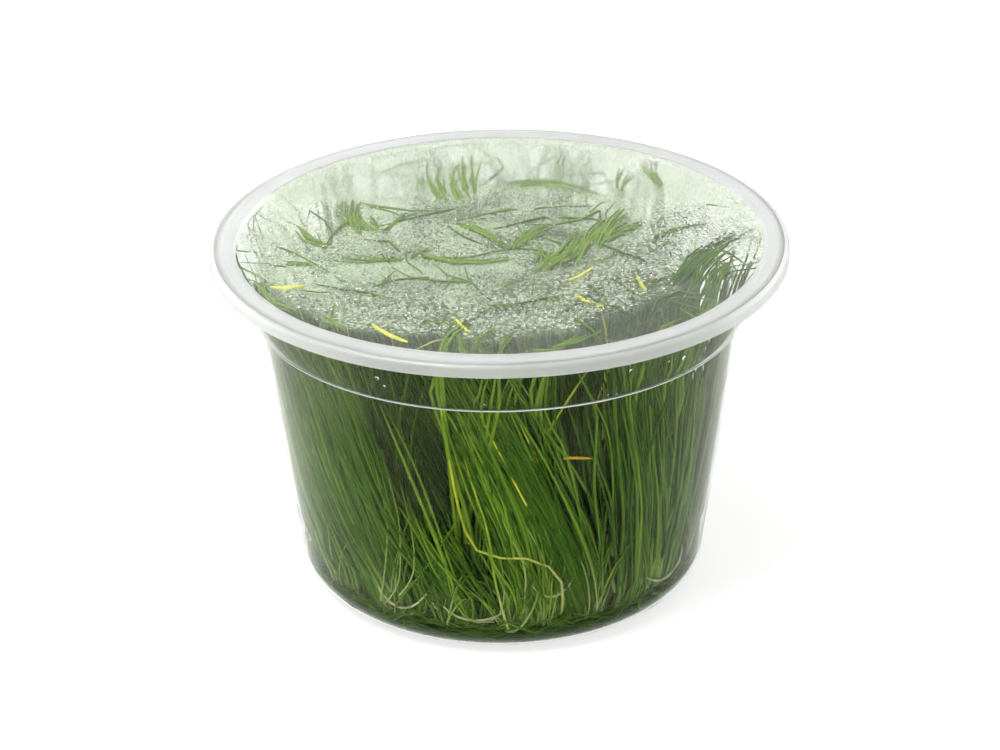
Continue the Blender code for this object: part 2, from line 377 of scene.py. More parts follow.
def film_material():
    """Clear film: where it is fogged its gloss is lost, and fine beads ripple it."""
    material, sheet, shader = new_material("sealing_film")
    sheet.feed(shader.inputs["Base Color"], (0.99, 1.0, 0.99))
    shader.inputs["Transmission Weight"].default_value = 1.0
    shader.inputs["IOR"].default_value = 1.22
    sheet.feed(shader.inputs["Specular Tint"], (0.3, 0.3, 0.3))
    fog = sheet.attribute("fog")
    beaded = sheet.attribute("beaded")
    cells = sheet.add("ShaderNodeTexVoronoi", None, {"Vector": sheet.place(), "Scale": 1500.0})
    beads = 1.0 - Field(sheet, cells.outputs["Distance"]).ranged(0.1, 0.6)
    sheet.feed(shader.inputs["Roughness"], 0.03 + fog * 0.22)
    sheet.feed(shader.inputs["Normal"], sheet.bump(beads * beaded, 0.00005))
    return material


def mist_material(name, colour):
    """Fine condensation: a pale veil whose strength is painted on the sheet as an attribute. Where the sheet
    is beaded, the veil gathers into bright round dots that are painted highlights of the drops. The green
    tint of the colour given is painted light from the grass below.
    """
    material, sheet, shader = new_material(name)
    sheet.feed(shader.inputs["Base Color"], colour[:])
    shader.inputs["Specular IOR Level"].default_value = 0.2
    shader.inputs["Roughness"].default_value = 0.7
    beaded = sheet.attribute("beaded")
    stretched = sheet.place((0.7, 1.0, 1.0))
    large = sheet.add("ShaderNodeTexVoronoi", None, {"Vector": stretched, "Scale": 1500.0})
    small = sheet.add("ShaderNodeTexVoronoi", None, {"Vector": sheet.place(), "Scale": 2700.0})
    # beads: bright round dots of the veil, painted highlights of the drops under the film
    beads = 1.0 - Field(sheet, large.outputs["Distance"]).ranged(0.30, 0.56)
    specks = 1.0 - Field(sheet, small.outputs["Distance"]).ranged(0.20, 0.70)
    grain = sheet.noise(500.0, 3.0, None, 0.7)
    veil = sheet.attribute("veil")
    even = veil * (0.75 + specks * 1.2 + (grain - 0.5) * 0.8)
    clumps = sheet.noise(210.0, 3.0, stretched, 0.6).ranged(0.36, 0.64)
    # In the beaded zone the veil is thinner, with the dots of painted highlight on top
    veil_and_painted_glints = veil * (0.30 + clumps * 0.60) + beads * (0.80 + clumps * 0.60)
    sheet.feed(shader.inputs["Alpha"], (even * (1.0 - beaded) + veil_and_painted_glints * beaded).clamped())
    return material


def water_material():
    material, sheet, shader = new_material("water_drops")
    sheet.feed(shader.inputs["Base Color"], (1.0, 1.0, 1.0))
    shader.inputs["Transmission Weight"].default_value = 1.0
    shader.inputs["IOR"].default_value = 1.333
    shader.inputs["Roughness"].default_value = 0.0
    return material


def gel_material(settings):
    """Clear gel that takes on an olive tint with depth."""
    material, sheet, shader = new_material("culture_gel")
    clouds = sheet.noise(90.0, 3.0)
    clarity = sheet.blend(clouds.ranged(0.3, 0.7), (0.93, 0.93, 0.80), (1.0, 1.0, 0.95))
    sheet.feed(shader.inputs["Base Color"], clarity)
    shader.inputs["Transmission Weight"].default_value = 1.0
    shader.inputs["IOR"].default_value = 1.15
    sheet.feed(shader.inputs["Roughness"], 0.05 + clouds * 0.1)
    tinting = {"Color": settings.tint[:], "Density": settings.density}
    depth = sheet.add("ShaderNodeVolumeAbsorption", None, tinting)
    output = material.node_tree.nodes["Material Output"]
    sheet.feed(output.inputs["Volume"], depth.outputs["Volume"])
    return material


def leaf_material(settings):
    """Blades: each has its own tone, a pale foot, tips blended toward lime, fine lengthwise mottling and a
    satin gloss. The lighter tips are partly the blades' own colour, partly painted light from above.
    """
    material, sheet, shader = new_material("leaf")
    tone = sheet.attribute("tone")
    along = sheet.attribute("along")
    mottle = sheet.noise(420.0, 3.0, sheet.place((1.0, 1.0, 0.22)), 0.6)
    shade = (tone + (mottle - 0.5) * 0.12).clamped()
    stops = (
        (0.0, settings.deep[:]),
        (0.55, settings.fresh[:]),
        (0.88, settings.lime[:]),
        (0.93, settings.straw[:]),
        (0.975, settings.straw[:]),
        (1.0, settings.amber[:]),
    )
    green = sheet.ramp(shade, stops)
    foot = 1.0 - (along / sheet.attribute("foot")).ranged(0.1, 1.0)
    # Tips up to 0.35 of the way to lime: partly the blades' own lighter tips, partly painted light from above
    tip = along.ranged(0.78, 1.0) * 0.35
    with_tip_light = sheet.blend(tip, green, settings.lime[:])
    sheet.feed(shader.inputs["Base Color"], sheet.blend(foot * 0.7, with_tip_light, settings.pale[:]))
    sheet.feed(shader.inputs["Roughness"], 0.30 + mottle * 0.22)
    sheet.feed(shader.inputs["Normal"], sheet.bump(mottle, 0.00012))
    shader.inputs["Specular IOR Level"].default_value = 0.12
    sheet.feed(shader.inputs["Specular Tint"], (0.6, 0.9, 0.4))
    return material


def stem_material(name, light, dark, scale):
    """Runners, roots and scraps: two mottled tones, satin."""
    material, sheet, shader = new_material(name)
    mottle = sheet.noise(scale, 3.0, None, 0.6)
    sheet.feed(shader.inputs["Base Color"], sheet.blend(mottle.ranged(0.35, 0.65), dark, light))
    sheet.feed(shader.inputs["Roughness"], 0.36 + mottle * 0.2)
    sheet.feed(shader.inputs["Normal"], sheet.bump(mottle, 0.0001))
    return material


def floor_material(settings):
    material, sheet, shader = new_material("floor")
    grain = sheet.noise(14.0, 2.0)
    darker = tuple(channel * 0.985 for channel in settings.floor)
    sheet.feed(shader.inputs["Base Color"], sheet.blend(grain, darker, settings.floor[:]))
    sheet.feed(shader.inputs["Emission Color"], (1.0, 1.0, 0.995))
    shader.inputs["Emission Strength"].default_value = settings.glow
    shader.inputs["Roughness"].default_value = 0.8
    shader.inputs["Specular IOR Level"].default_value = 0.1
    material.cycles.emission_sampling = "NONE"
    return material


# Mesh helpers

def show(name, mesh):
    thing = bpy.data.objects.new(name, mesh)
    bpy.context.scene.collection.objects.link(thing)
    return thing


def settle(thing):
    """Keep what the modifiers make as the object's own plain mesh."""
    depsgraph = bpy.context.evaluated_depsgraph_get()
    evaluated = thing.evaluated_get(depsgraph)
    mesh = bpy.data.meshes.new_from_object(evaluated, preserve_all_data_layers=True, depsgraph=depsgraph)
    old = thing.data
    thing.modifiers.clear()
    thing.data = mesh
    mesh.name = thing.name
    bpy.data.meshes.remove(old)
    if not mesh.polygons:
        raise RuntimeError(f"{thing.name} came out with no faces")
    return thing


def finish_piece(thing, replaced=()):
    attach(thing, BODY)
    if replaced:
        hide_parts(*replaced)


def turned(name, profile, steps):
    """A profile in the XZ plane, in millimetres, swept once round the Z axis."""
    mesh = bpy.data.meshes.new(name)
    points = [(x * MM, 0.0, z * MM) for x, z in profile]
    mesh.from_pydata(points, [(i, i + 1) for i in range(len(points) - 1)], [])
    thing = show(name, mesh)
    screw = thing.modifiers.new("Turn", "SCREW")
    screw.steps = steps
    screw.render_steps = steps
    screw.use_merge_vertices = True
    screw.merge_threshold = 0.00001
    return thing


def arc(centre, radius, start, end, steps):
    """Points on a circle in the profile plane, from one angle to the other, both included."""
    points = []
    for step in range(steps + 1):
        angle = start + (end - start) * step / steps
        points.append((centre[0] + radius * math.cos(angle), centre[1] + radius * math.sin(angle)))
    return points


def paint(mesh, name, values):
    """Store one number for each point of a mesh."""
    layer = mesh.attributes.new(name, "FLOAT", "POINT")
    layer.data.foreach_set("value", np.asarray(values, np.float32).ravel())


def new_tree(name, sockets):
    """A geometry tree with named inputs: each is a name, a socket type and a default."""
    tree = bpy.data.node_groups.new(name, "GeometryNodeTree")
    tree.interface.new_socket(name="Geometry", in_out="INPUT", socket_type="NodeSocketGeometry")
    for label, kind, default in sockets:
        socket = tree.interface.new_socket(name=label, in_out="INPUT", socket_type=kind)
        if default is not None:
            socket.default_value = default
    tree.interface.new_socket(name="Geometry", in_out="OUTPUT", socket_type="NodeSocketGeometry")
    sheet = Sheet(tree)
    return tree, sheet, sheet.add("NodeGroupInput")


def grow_through(thing, tree, values):
    """Run a geometry tree on an object and keep the result as its mesh."""
    modifier = thing.modifiers.new(tree.name, "NODES")
    modifier.node_group = tree
    for item in tree.interface.items_tree:
        if item.in_out == "INPUT" and item.name in values:
            modifier[item.identifier] = values[item.name]
    return settle(thing)


def tube_tree():
    """Lines to tubes: each point's half_width attribute sets the thickness there."""
    sockets = (("Sides", "NodeSocketInt", 4), ("Material", "NodeSocketMaterial", None))
    tree, sheet, given = new_tree("tubes", sockets)
    curve = sheet.add("GeometryNodeMeshToCurve", None, {"Mesh": given.outputs["Geometry"]})
    width = sheet.add("GeometryNodeInputNamedAttribute", {"data_type": "FLOAT"}, {"Name": "half_width"})
    section = sheet.add(
        "GeometryNodeCurvePrimitiveCircle", None, {"Resolution": given.outputs["Sides"], "Radius": 1.0})
    tube = sheet.add("GeometryNodeCurveToMesh", None, {
        "Curve": curve.outputs["Curve"],
        "Profile Curve": section.outputs["Curve"],
        "Scale": width.outputs["Attribute"],
        "Fill Caps": True,
    })
    even = sheet.add("GeometryNodeSetShadeSmooth", None, {"Geometry": tube.outputs["Mesh"]})
    real = sheet.add("GeometryNodeRealizeInstances", None, {"Geometry": even.outputs["Geometry"]})
    coloured = sheet.add("GeometryNodeSetMaterial", None, {
        "Geometry": real.outputs["Geometry"], "Material": given.outputs["Material"]})
    sheet.add("NodeGroupOutput", None, {"Geometry": coloured.outputs["Geometry"]})
    return tree


def drop_tree():
    """Drops scattered over faces, as thick as their beads attribute says, flattened against the face."""
    sockets = (
        ("Most per area", "NodeSocketFloat", 1e6),
        ("Apart", "NodeSocketFloat", 0.0004),
        ("Smallest", "NodeSocketFloat", 0.0002),
        ("Largest", "NodeSocketFloat", 0.0006),
        ("Flatness", "NodeSocketFloat", 0.5),
        ("Seed", "NodeSocketInt", 0),
        ("Material", "NodeSocketMaterial", None),
    )
    tree, sheet, given = new_tree("condensation", sockets)
    beads = sheet.add("GeometryNodeInputNamedAttribute", {"data_type": "FLOAT"}, {"Name": "beads"})
    size = sheet.add("GeometryNodeInputNamedAttribute", {"data_type": "FLOAT"}, {"Name": "bead_size"})
    points = sheet.add("GeometryNodeDistributePointsOnFaces", {"distribute_method": "POISSON"}, {
        "Mesh": given.outputs["Geometry"],
        "Distance Min": given.outputs["Apart"],
        "Density Max": given.outputs["Most per area"],
        "Density Factor": beads.outputs["Attribute"],
        "Seed": given.outputs["Seed"],
    })
    chance = sheet.add("FunctionNodeRandomValue", {"data_type": "FLOAT"}, {
        "Min": 0.0, "Max": 1.0, "Seed": given.outputs["Seed"]})
    share = Field(sheet, chance.outputs["Value"]) ** 2.0 * Field(sheet, size.outputs["Attribute"])
    smallest = Field(sheet, given.outputs["Smallest"])
    width = smallest + (Field(sheet, given.outputs["Largest"]) - smallest) * share
    flat = sheet.add("ShaderNodeCombineXYZ", None, {
        "X": width, "Y": width, "Z": width * Field(sheet, given.outputs["Flatness"])})
    ball = sheet.add("GeometryNodeMeshUVSphere", None, {"Segments": 8, "Rings": 4, "Radius": 0.5})
    drops = sheet.add("GeometryNodeInstanceOnPoints", None, {
        "Points": points.outputs["Points"],
        "Instance": ball.outputs["Mesh"],
        "Rotation": points.outputs["Rotation"],
        "Scale": flat.outputs["Vector"],
    })
    even = sheet.add("GeometryNodeRealizeInstances", None, {"Geometry": drops.outputs["Instances"]})
    smooth_drops = sheet.add("GeometryNodeSetShadeSmooth", None, {"Geometry": even.outputs["Geometry"]})
    coloured = sheet.add("GeometryNodeSetMaterial", None, {
        "Geometry": smooth_drops.outputs["Geometry"], "Material": given.outputs["Material"]})
    sheet.add("NodeGroupOutput", None, {"Geometry": coloured.outputs["Geometry"]})
    return tree


def line_object(name, lines, half_widths, tones, feet=0.0):
    """Lines as one mesh of edges: an array of lines, points and places, with a width at each point."""
    count, length = lines.shape[:2]
    mesh = bpy.data.meshes.new(name)
    first = (np.arange(count)[:, None] * length + np.arange(length - 1)).ravel()
    mesh.from_pydata((lines.reshape(-1, 3) * MM).tolist(), np.stack((first, first + 1), 1).tolist(), [])
    paint(mesh, "half_width", half_widths * MM)
    paint(mesh, "tone", np.repeat(tones, length))
    paint(mesh, "along", np.tile(np.linspace(0.0, 1.0, length), count))
    paint(mesh, "foot", np.repeat(np.broadcast_to(feet, count), length))
    return show(name, mesh)


# Growing the blades

MARCH = 2.0
BLADE_POINTS = 16
SHORT_CURVE_POINTS = 24
SHEAF_CURVE_POINTS = 48
FILM_CURVE_POINTS = 60
BLADE_SIDES = 4
WALL_ROOM = 0.36
FILM_ROOM = 0.6
FLOOR_ROOM = 0.9
CORNER_ROOM = 0.38
BEND_ROOM = 9.0
TURN_LENGTH = 8.0
FILM_TURN_LENGTH = 3.5
SWAY_MEAN = -0.12
SWAY_SWING = -0.45
SWAY_BEARING = math.radians(-30.0)
BLADE_HEIGHT = 54.0
BLADES_BY_RING = (70, 66, 70, 48)
FLOOR_BLADES_BY_RING = (6, 8, 14, 24)
CORNER_BLADES = 52
PRESSED_BY_RING = (3, 2, 3, 2)
PRESSED_LOW = 61.75
PRESSED_HIGH = 62.0
HAZED = 0.42
PRESSED_WIDTH = 0.34
FOUNTAIN_WIDTH = 0.19
PALE_FOOT = (0.02, 0.30)
FOUNTAIN_FOOT = (0.2, 1.0)
BLADE_LENGTHS = (40.0, 58.0, 76.0)
SHORTENED = (0.5, 0.74)
STRAW_TONE = 0.94

# Clearings at the front, where the eye reaches into the dark: bearing, half width, lowest and highest z
CLEARINGS = ((-22.0, 8.5, 25.0, 54.0), (20.0, 6.0, 30.0, 50.0), (66.0, 4.0, 38.0, 52.0))
CLEARING_DEPTH = 13.0
SHEAVES = 5
SHEAF_FULLNESS = 1.2
STRAY_SHARE = 0.16
CROWN_FOOT = 2.6
STRAW_SHARE = 0.03

# Combed sheaves that lie against the front wall: the bearing of their feet and of their tops, how far they
# spread at both, the height of their tops, how late they lean over, the number of blades and their tone
WALL_SHEAVES = (
    (24.0, -4.0, 6.5, 4.5, 60.0, 1.15, 66, 0.52),
    (14.0, -8.0, 7.0, 4.5, 59.0, 1.2, 62, 0.50),
    (6.0, -12.0, 5.0, 3.0, 60.0, 1.3, 34, 0.58),
    (33.0, 16.0, 5.0, 6.0, 57.0, 1.1, 7, 0.52),
    (40.0, 27.0, 5.0, 3.5, 62.0, 1.2, 52, 0.50),
    (49.0, 37.0, 6.0, 5.0, 62.0, 1.1, 52, 0.46),
    (58.0, 56.0, 6.0, 6.0, 52.0, 1.0, 40, 0.46),
    (73.0, 80.0, 8.0, 8.0, 56.0, 1.0, 48, 0.50),
    (88.0, 94.0, 9.0, 9.0, 58.0, 1.0, 50, 0.50),
    (84.0, 90.0, 10.0, 9.0, 30.0, 1.0, 26, 0.50),
    (-86.0, -92.0, 12.0, 10.0, 32.0, 1.0, 32, 0.50),
    (-38.0, -61.0, 6.0, 8.0, 58.0, 1.0, 48, 0.54),
    (-55.0, -74.0, 8.0, 8.0, 56.0, 1.0, 46, 0.52),
    (-34.0, -52.0, 5.0, 5.0, 60.0, 1.1, 40, 0.48),
    (-28.0, -44.0, 4.0, 3.0, 58.0, 1.1, 26, 0.54),
    (-75.0, -90.0, 9.0, 8.0, 56.0, 1.0, 52, 0.52),
    (-93.0, -102.0, 8.0, 8.0, 56.0, 1.0, 44, 0.50),
    (-8.0, -22.0, 6.0, 6.0, 32.0, 1.2, 38, 0.50),
    (-16.0, -25.0, 6.0, 7.0, 29.0, 1.0, 34, 0.50),
    (8.0, 1.0, 9.0, 9.0, 30.0, 1.0, 32, 0.52),
)
BACK_SHEAVES = 3
BACK_SHEAF_BLADES = 36
BACK_SHEAF_TONE = 0.45
SHEAF_FOOT = 8.0

# A sheaf taller than the first height bends over at the film, from the second height on
BENDING_SHEAF = 57.0
BEND_START = 53.0
BEND_RANGE = 5.0

# Bearings of the plantlets at the back whose blades reach the film
TALL_BEHIND = (146.25, 168.75, -168.75, -123.75)

# Short blades that arch up from one spot at the foot of the front wall: bearing, height, how far they
# spread to each side, number and tone
FOUNTAINS = (
    (-34.0, 30.0, 15.0, 22, 0.72),
    (-18.0, 18.0, 12.0, 14, 0.70),
    (2.0, 24.0, 14.0, 24, 0.74),
    (12.0, 20.0, 10.0, 16, 0.76),
    (27.0, 26.0, 9.0, 16, 0.70),
    (47.0, 24.0, 14.0, 18, 0.66),
    (-60.0, 28.0, 15.0, 24, 0.72),
    (70.0, 22.0, 14.0, 18, 0.64),
)
BACK_FOUNTAIN_BLADES = 24
BACK_FOUNTAIN_TONE = 0.56

# Strokes that blades make where they lie against the film, in millimetres: where they start and end, how far
# they bow sideways, how far they spread, their number, half width and tone
FILM_STROKES = (
    ((-8.0, 21.0), (-9.0, 36.0), 1.0, 2.2, 10, 0.38, 0.72),
    ((-5.0, 23.0), (-5.0, 41.0), 0.5, 0.9, 5, 0.40, 0.66),
    ((-14.0, 26.0), (-14.0, 34.0), -1.0, 0.9, 4, 0.36, 0.76),
    ((-30.0, 0.0), (-35.0, 8.0), 0.8, 0.5, 3, 0.40, 0.80),
    ((-25.0, 6.0), (-26.0, 20.0), 0.6, 0.8, 5, 0.38, 0.74),
    ((-21.0, 6.0), (-25.0, 13.0), 1.0, 1.0, 5, 0.36, 0.76),
    ((-19.0, 7.0), (-16.0, 13.0), 0.4, 0.3, 2, 0.40, 0.90),
    ((-15.0, -6.0), (-12.0, -2.0), 0.5, 0.3, 2, 0.38, 0.80),
    ((-17.0, -6.0), (-29.0, -5.0), 0.8, 0.3, 2, 0.28, 0.72),
    ((-6.0, 7.0), (2.0, -2.0), 1.0, 0.5, 4, 0.40, 0.70),
    ((-12.0, -5.0), (2.0, -7.0), -2.5, 0.4, 3, 0.32, 0.76),
    ((-33.0, -8.0), (-37.0, -7.0), 0.3, 0.3, 2, 0.34, 0.66),
    ((-41.0, -15.0), (-33.5, -28.0), -1.6, 0.4, 3, 0.34, 0.76),
    ((-29.0, -29.0), (-25.0, -36.5), 0.8, 0.4, 2, 0.34, 0.80),
    ((-6.0, -32.0), (-13.0, -31.0), 0.5, 0.3, 2, 0.32, 0.78),
    ((-9.0, -41.5), (-4.0, -30.0), 0.8, 0.3, 2, 0.32, 0.80),
    ((-4.0, -39.0), (-1.0, -35.0), 0.2, 0.3, 2, 0.36, 0.82),
    ((-8.0, -26.0), (-11.0, -24.0), 0.3, 0.2, 1, 0.34, 0.86),
    ((2.0, -25.0), (-2.0, -26.0), 0.2, 0.3, 1, 0.32, 0.74),
    ((-28.0, -28.0), (-28.0, -24.0), 0.3, 0.3, 1, 0.32, 0.80),
    ((14.0, -5.0), (19.0, 9.0), 1.0, 1.0, 8, 0.40, 0.80),
    ((17.0, -1.0), (23.0, 13.0), 0.8, 0.8, 6, 0.40, 0.76),
    ((19.0, 1.0), (26.0, 9.0), 0.6, 0.6, 5, 0.42, 0.68),
    ((4.0, 0.0), (10.0, 8.0), 0.8, 0.8, 6, 0.36, 0.76),
    ((7.0, 0.0), (7.0, -15.0), 1.0, 0.4, 3, 0.38, 0.82),
    ((11.0, 1.0), (13.0, 0.0), 0.2, 0.3, 1, 0.44, 0.88),
    ((10.0, -9.0), (14.0, -4.0), 0.5, 0.8, 4, 0.38, 0.76),
    ((8.0, -10.0), (15.0, 5.0), -1.2, 1.0, 6, 0.36, 0.74),
    ((1.0, 25.0), (18.0, 19.0), 4.0, 0.6, 6, 0.38, 0.66),
    ((11.0, 34.0), (12.0, 41.0), 0.6, 0.5, 2, 0.42, 0.80),
    ((29.0, 24.0), (27.0, 36.0), 0.5, 0.5, 5, 0.42, 0.72),
    ((22.0, 24.0), (24.0, 33.0), 0.5, 0.8, 4, 0.38, 0.74),
    ((28.0, 2.0), (37.0, 7.0), 1.0, 0.4, 3, 0.32, 0.70),
    ((30.0, -16.0), (42.0, 5.0), 1.0, 0.9, 10, 0.40, 0.40),
    ((34.0, -15.0), (39.0, -3.0), 0.6, 1.3, 7, 0.38, 0.40),
    ((36.0, -18.0), (39.0, -9.0), 0.5, 1.1, 5, 0.38, 0.46),
    ((0.0, -42.5), (2.0, -35.0), 0.3, 0.2, 2, 0.34, 0.72),
    ((9.0, -41.5), (16.0, -36.0), -0.8, 0.2, 2, 0.34, 0.72),
    ((5.0, -42.8), (10.0, -42.2), 0.0, 0.2, 2, 0.32, 0.66),
    ((26.5, -34.5), (31.0, -30.5), -0.3, 0.2, 1, 0.32, 0.74),
    ((33.5, -28.0), (36.0, -25.5), 0.0, 0.2, 1, 0.34, 0.72),
    ((32.0, -30.0), (30.0, -27.5), 0.3, 0.2, 1, 0.34, 0.70),
)
STROKE_RISE = 8.0
STROKE_FULLNESS = 1.8
STROKE_WIDENING = 1.2

# How a blade rises to the film: share of the way from its crown to where it meets the film, and height
FILM_RISE = ((0.0, 3.0), (0.2, 20.0), (0.5, 38.0), (0.85, 52.0), (1.0, 60.0))
HAZE_START = 6.0
HAZE_FADE = 14.0

# Blades that stand out on their own: tone, half width in mm, share of the length with a pale foot, then
# bearing, height and depth from the wall at each point
LONE_BLADES = (
    (0.92, 0.40, 0.55, ((17, 6, 2.2), (16.4, 12, 0.6), (14.5, 16.2, 0.4), (10, 18.8, 0.36), (4.4, 20.3, 0.36),
                        (0, 20.3, 0.36), (-3.5, 20.4, 0.36), (-6.6, 21.6, 0.36), (-9.0, 24.4, 0.36),
                        (-10.6, 28.4, 0.36), (-12.4, 37, 0.36), (-13.5, 47.3, 0.36), (-14.4, 56, 0.4),
                        (-15, 60, 2.0))),
    (0.84, 0.34, 0.2, ((-11, 5, 3.0), (-14, 14, 0.9), (-17.5, 23, 0.5), (-23.7, 36.2, 0.5),
                       (-29.5, 48.2, 0.5))),
    (0.78, 0.28, 0.2, ((-9, 5, 3.0), (-13, 15, 0.9), (-17.0, 26, 0.5), (-22.0, 38.0, 0.5),
                       (-27.5, 47.0, 0.5))),
    (0.70, 0.24, 0.1, ((-33, 5, 1.0), (-31, 8.2, 0.6), (-20, 18, 0.5), (-11.1, 28.4, 0.5), (-9, 31, 0.6))),
    (1.05, 0.26, 0.01, ((15.1, 39.6, 0.6), (19.0, 39.2, 0.5), (22.6, 38.5, 0.6))),
    (0.78, 0.34, 0.2, ((24, 6, 2.5), (22, 20, 1.2), (18.5, 33, 0.6), (14.2, 43, 0.5), (10.2, 49, 0.5),
                       (10.2, 60, 0.7))),
    (0.70, 0.36, 0.2, ((30, 6, 2.5), (27, 20, 1.2), (23.5, 33, 0.6), (23.0, 47, 0.5), (19.5, 53, 0.6),
                       (15, 60, 1.0))),
    (0.86, 0.28, 0.2, ((33, 16, 2.5), (29, 34, 1.0), (26.4, 43, 0.6), (22, 50, 0.5), (17, 57, 0.8))),
    (0.90, 0.20, 0.1, ((8, 36, 2.5), (11, 44, 1.5), (15, 51, 1.2), (20, 58, 1.5))),
    (0.80, 0.28, 0.2, ((2, 30, 2.5), (-2, 42, 0.8), (-6.5, 50, 0.6), (-4.8, 54, 0.6), (-3.5, 60, 0.8))),
    (0.70, 0.24, 0.1, ((35, 8, 2.5), (28, 24, 3.0), (17, 38, 0.8), (8, 48.0, 0.5), (3, 55, 0.6),
                       (0, 60, 0.8))),
    (0.88, 0.19, 0.9, ((5.5, 8, 1.5), (6, 16, 0.6), (4.3, 20.9, 0.5), (1.9, 24.5, 0.5), (-1.4, 30.7, 0.5),
                       (-4.8, 36.5, 0.6), (-8, 43, 1.2))),
    (0.86, 0.19, 0.9, ((13, 10, 1.5), (11.2, 18, 0.6), (9, 22.1, 0.5), (5.7, 26.8, 0.5), (2.4, 30, 0.5),
                       (-1.8, 33.8, 0.5), (-6, 40, 1.0))),
    (0.90, 0.34, 0.4, ((1.5, 4.4, 1.0), (0, 8, 0.6), (-2.4, 16, 0.5), (-3.2, 22, 0.5), (-4.6, 28, 0.5),
                       (-6.6, 33, 0.5), (-9.4, 41, 0.6))),
    (0.86, 0.18, 0.9, ((-0.8, 20.4, 1.0), (0.2, 13.1, 0.6), (-1.2, 8.5, 0.5), (-4, 6.8, 0.5), (-8, 6.6, 0.5),
                       (-12, 8.5, 0.5), (-14.5, 12.6, 0.5), (-15.4, 19, 0.6), (-14.6, 24, 1.0))),
    (0.86, 0.18, 0.9, ((0.2, 4.6, 0.8), (3.0, 4.8, 0.5), (5.8, 6.6, 0.5), (8.7, 10.7, 0.5), (10, 16, 0.8))),
    (0.84, 0.16, 0.7, ((27.2, 6.0, 1.0), (26.9, 8.0, 0.5), (25.3, 13.7, 0.5), (21.9, 20.5, 0.5),
                       (16, 30, 0.6))),
    (0.84, 0.16, 0.7, ((24.6, 6.0, 1.0), (24.4, 9.0, 0.5), (22.8, 14.7, 0.5), (18.9, 21.5, 0.5),
                       (13, 30, 0.6))),
    (0.88, 0.21, 0.6, ((-37.5, 7.0, 0.8), (-35, 12, 0.5), (-32.6, 19, 0.5), (-31.4, 26, 0.5),
                       (-33.5, 36, 0.6))),
    (0.86, 0.20, 0.7, ((-35.5, 7.2, 0.8), (-33.5, 8.6, 0.5), (-30.0, 12.6, 0.5), (-28.4, 18.6, 0.5),
                       (-28.0, 27, 0.6), (-31, 37, 0.9))),
    (0.84, 0.20, 0.7, ((-30.5, 9.6, 0.8), (-27.2, 12.4, 0.5), (-24.6, 16.6, 0.5), (-24.3, 24, 0.5),
                       (-26.5, 33, 0.9))),
)


def unit(vectors):
    return vectors / np.linalg.norm(vectors, axis=-1, keepdims=True)


def keep_inside(at, ceiling=UNDER_FILM - FILM_ROOM, floor=FLOOR_ROOM):
    """Move points back inside the wall, over the floor and under the film."""
    at[..., 2] = np.clip(at[..., 2], FLOOR + floor, ceiling)
    radius = np.linalg.norm(at[..., :2], axis=-1)
    room = inner_radius(at[..., 2], WALL_ROOM)
    at[..., :2] *= np.minimum(1.0, room / np.maximum(radius, 1e-6))[..., None]
    return at


def grow(feet, headings, slopes, curls, lengths, draw):
    """March blades from their feet: they turn upright, lean by their slopes, slide along wall and film."""
    at = feet.copy()
    heading = unit(headings)
    count = len(at)
    phases = draw.uniform(0.0, math.tau, (count, 2))
    waves = draw.uniform(11.0, 20.0, (count, 2))
    swings = draw.normal(0.0, 0.10, (count, 2))
    steps = int(math.ceil(lengths.max() / MARCH))
    track = [at.copy()]
    for step in range(steps):
        travelled = step * MARCH
        wander = swings * np.sin(travelled / waves + phases)
        nearness = 1.0 - smooth((UNDER_FILM - FILM_ROOM - at[:, 2]) / BEND_ROOM)
        target = np.empty_like(at)
        target[:, :2] = slopes * (1.0 + nearness[:, None]) + wander + curls * nearness[:, None]
        target[:, 2] = 1.0 - nearness
        turn_length = mixed(TURN_LENGTH, FILM_TURN_LENGTH, nearness)
        turn = 1.0 - np.exp(-MARCH / turn_length)
        heading = unit(heading + (unit(target + 1e-6) - heading) * turn[:, None])
        at = at + heading * MARCH
        at[:, 2] = np.clip(at[:, 2], FLOOR + FLOOR_ROOM, UNDER_FILM - FILM_ROOM)
        radius = np.linalg.norm(at[:, :2], axis=1)
        room = inner_radius(at[:, 2], WALL_ROOM)
        outside = radius > room
        outward = at[:, :2] / np.maximum(radius, 1e-6)[:, None]
        pushed = np.maximum((heading[:, :2] * outward).sum(1), 0.0) * outside
        heading[:, :2] -= outward * pushed[:, None]
        heading = unit(heading)
        at[:, :2] *= np.where(outside, room / np.maximum(radius, 1e-6), 1.0)[:, None]
        track.append(at.copy())
    return evenly(np.stack(track, 1), lengths / (steps * MARCH))


def evenly(track, shares):
    """The same number of points on every blade, evenly along the share of its track that it has grown."""
    where = np.linspace(0.0, 1.0, BLADE_POINTS) * shares[:, None] * (track.shape[1] - 1)
    where = np.clip(where, 0.0, track.shape[1] - 1.001)
    low = where.astype(int)
    part = (where - low)[..., None]
    rows = np.arange(len(track))[:, None]
    return track[rows, low] * (1.0 - part) + track[rows, low + 1] * part


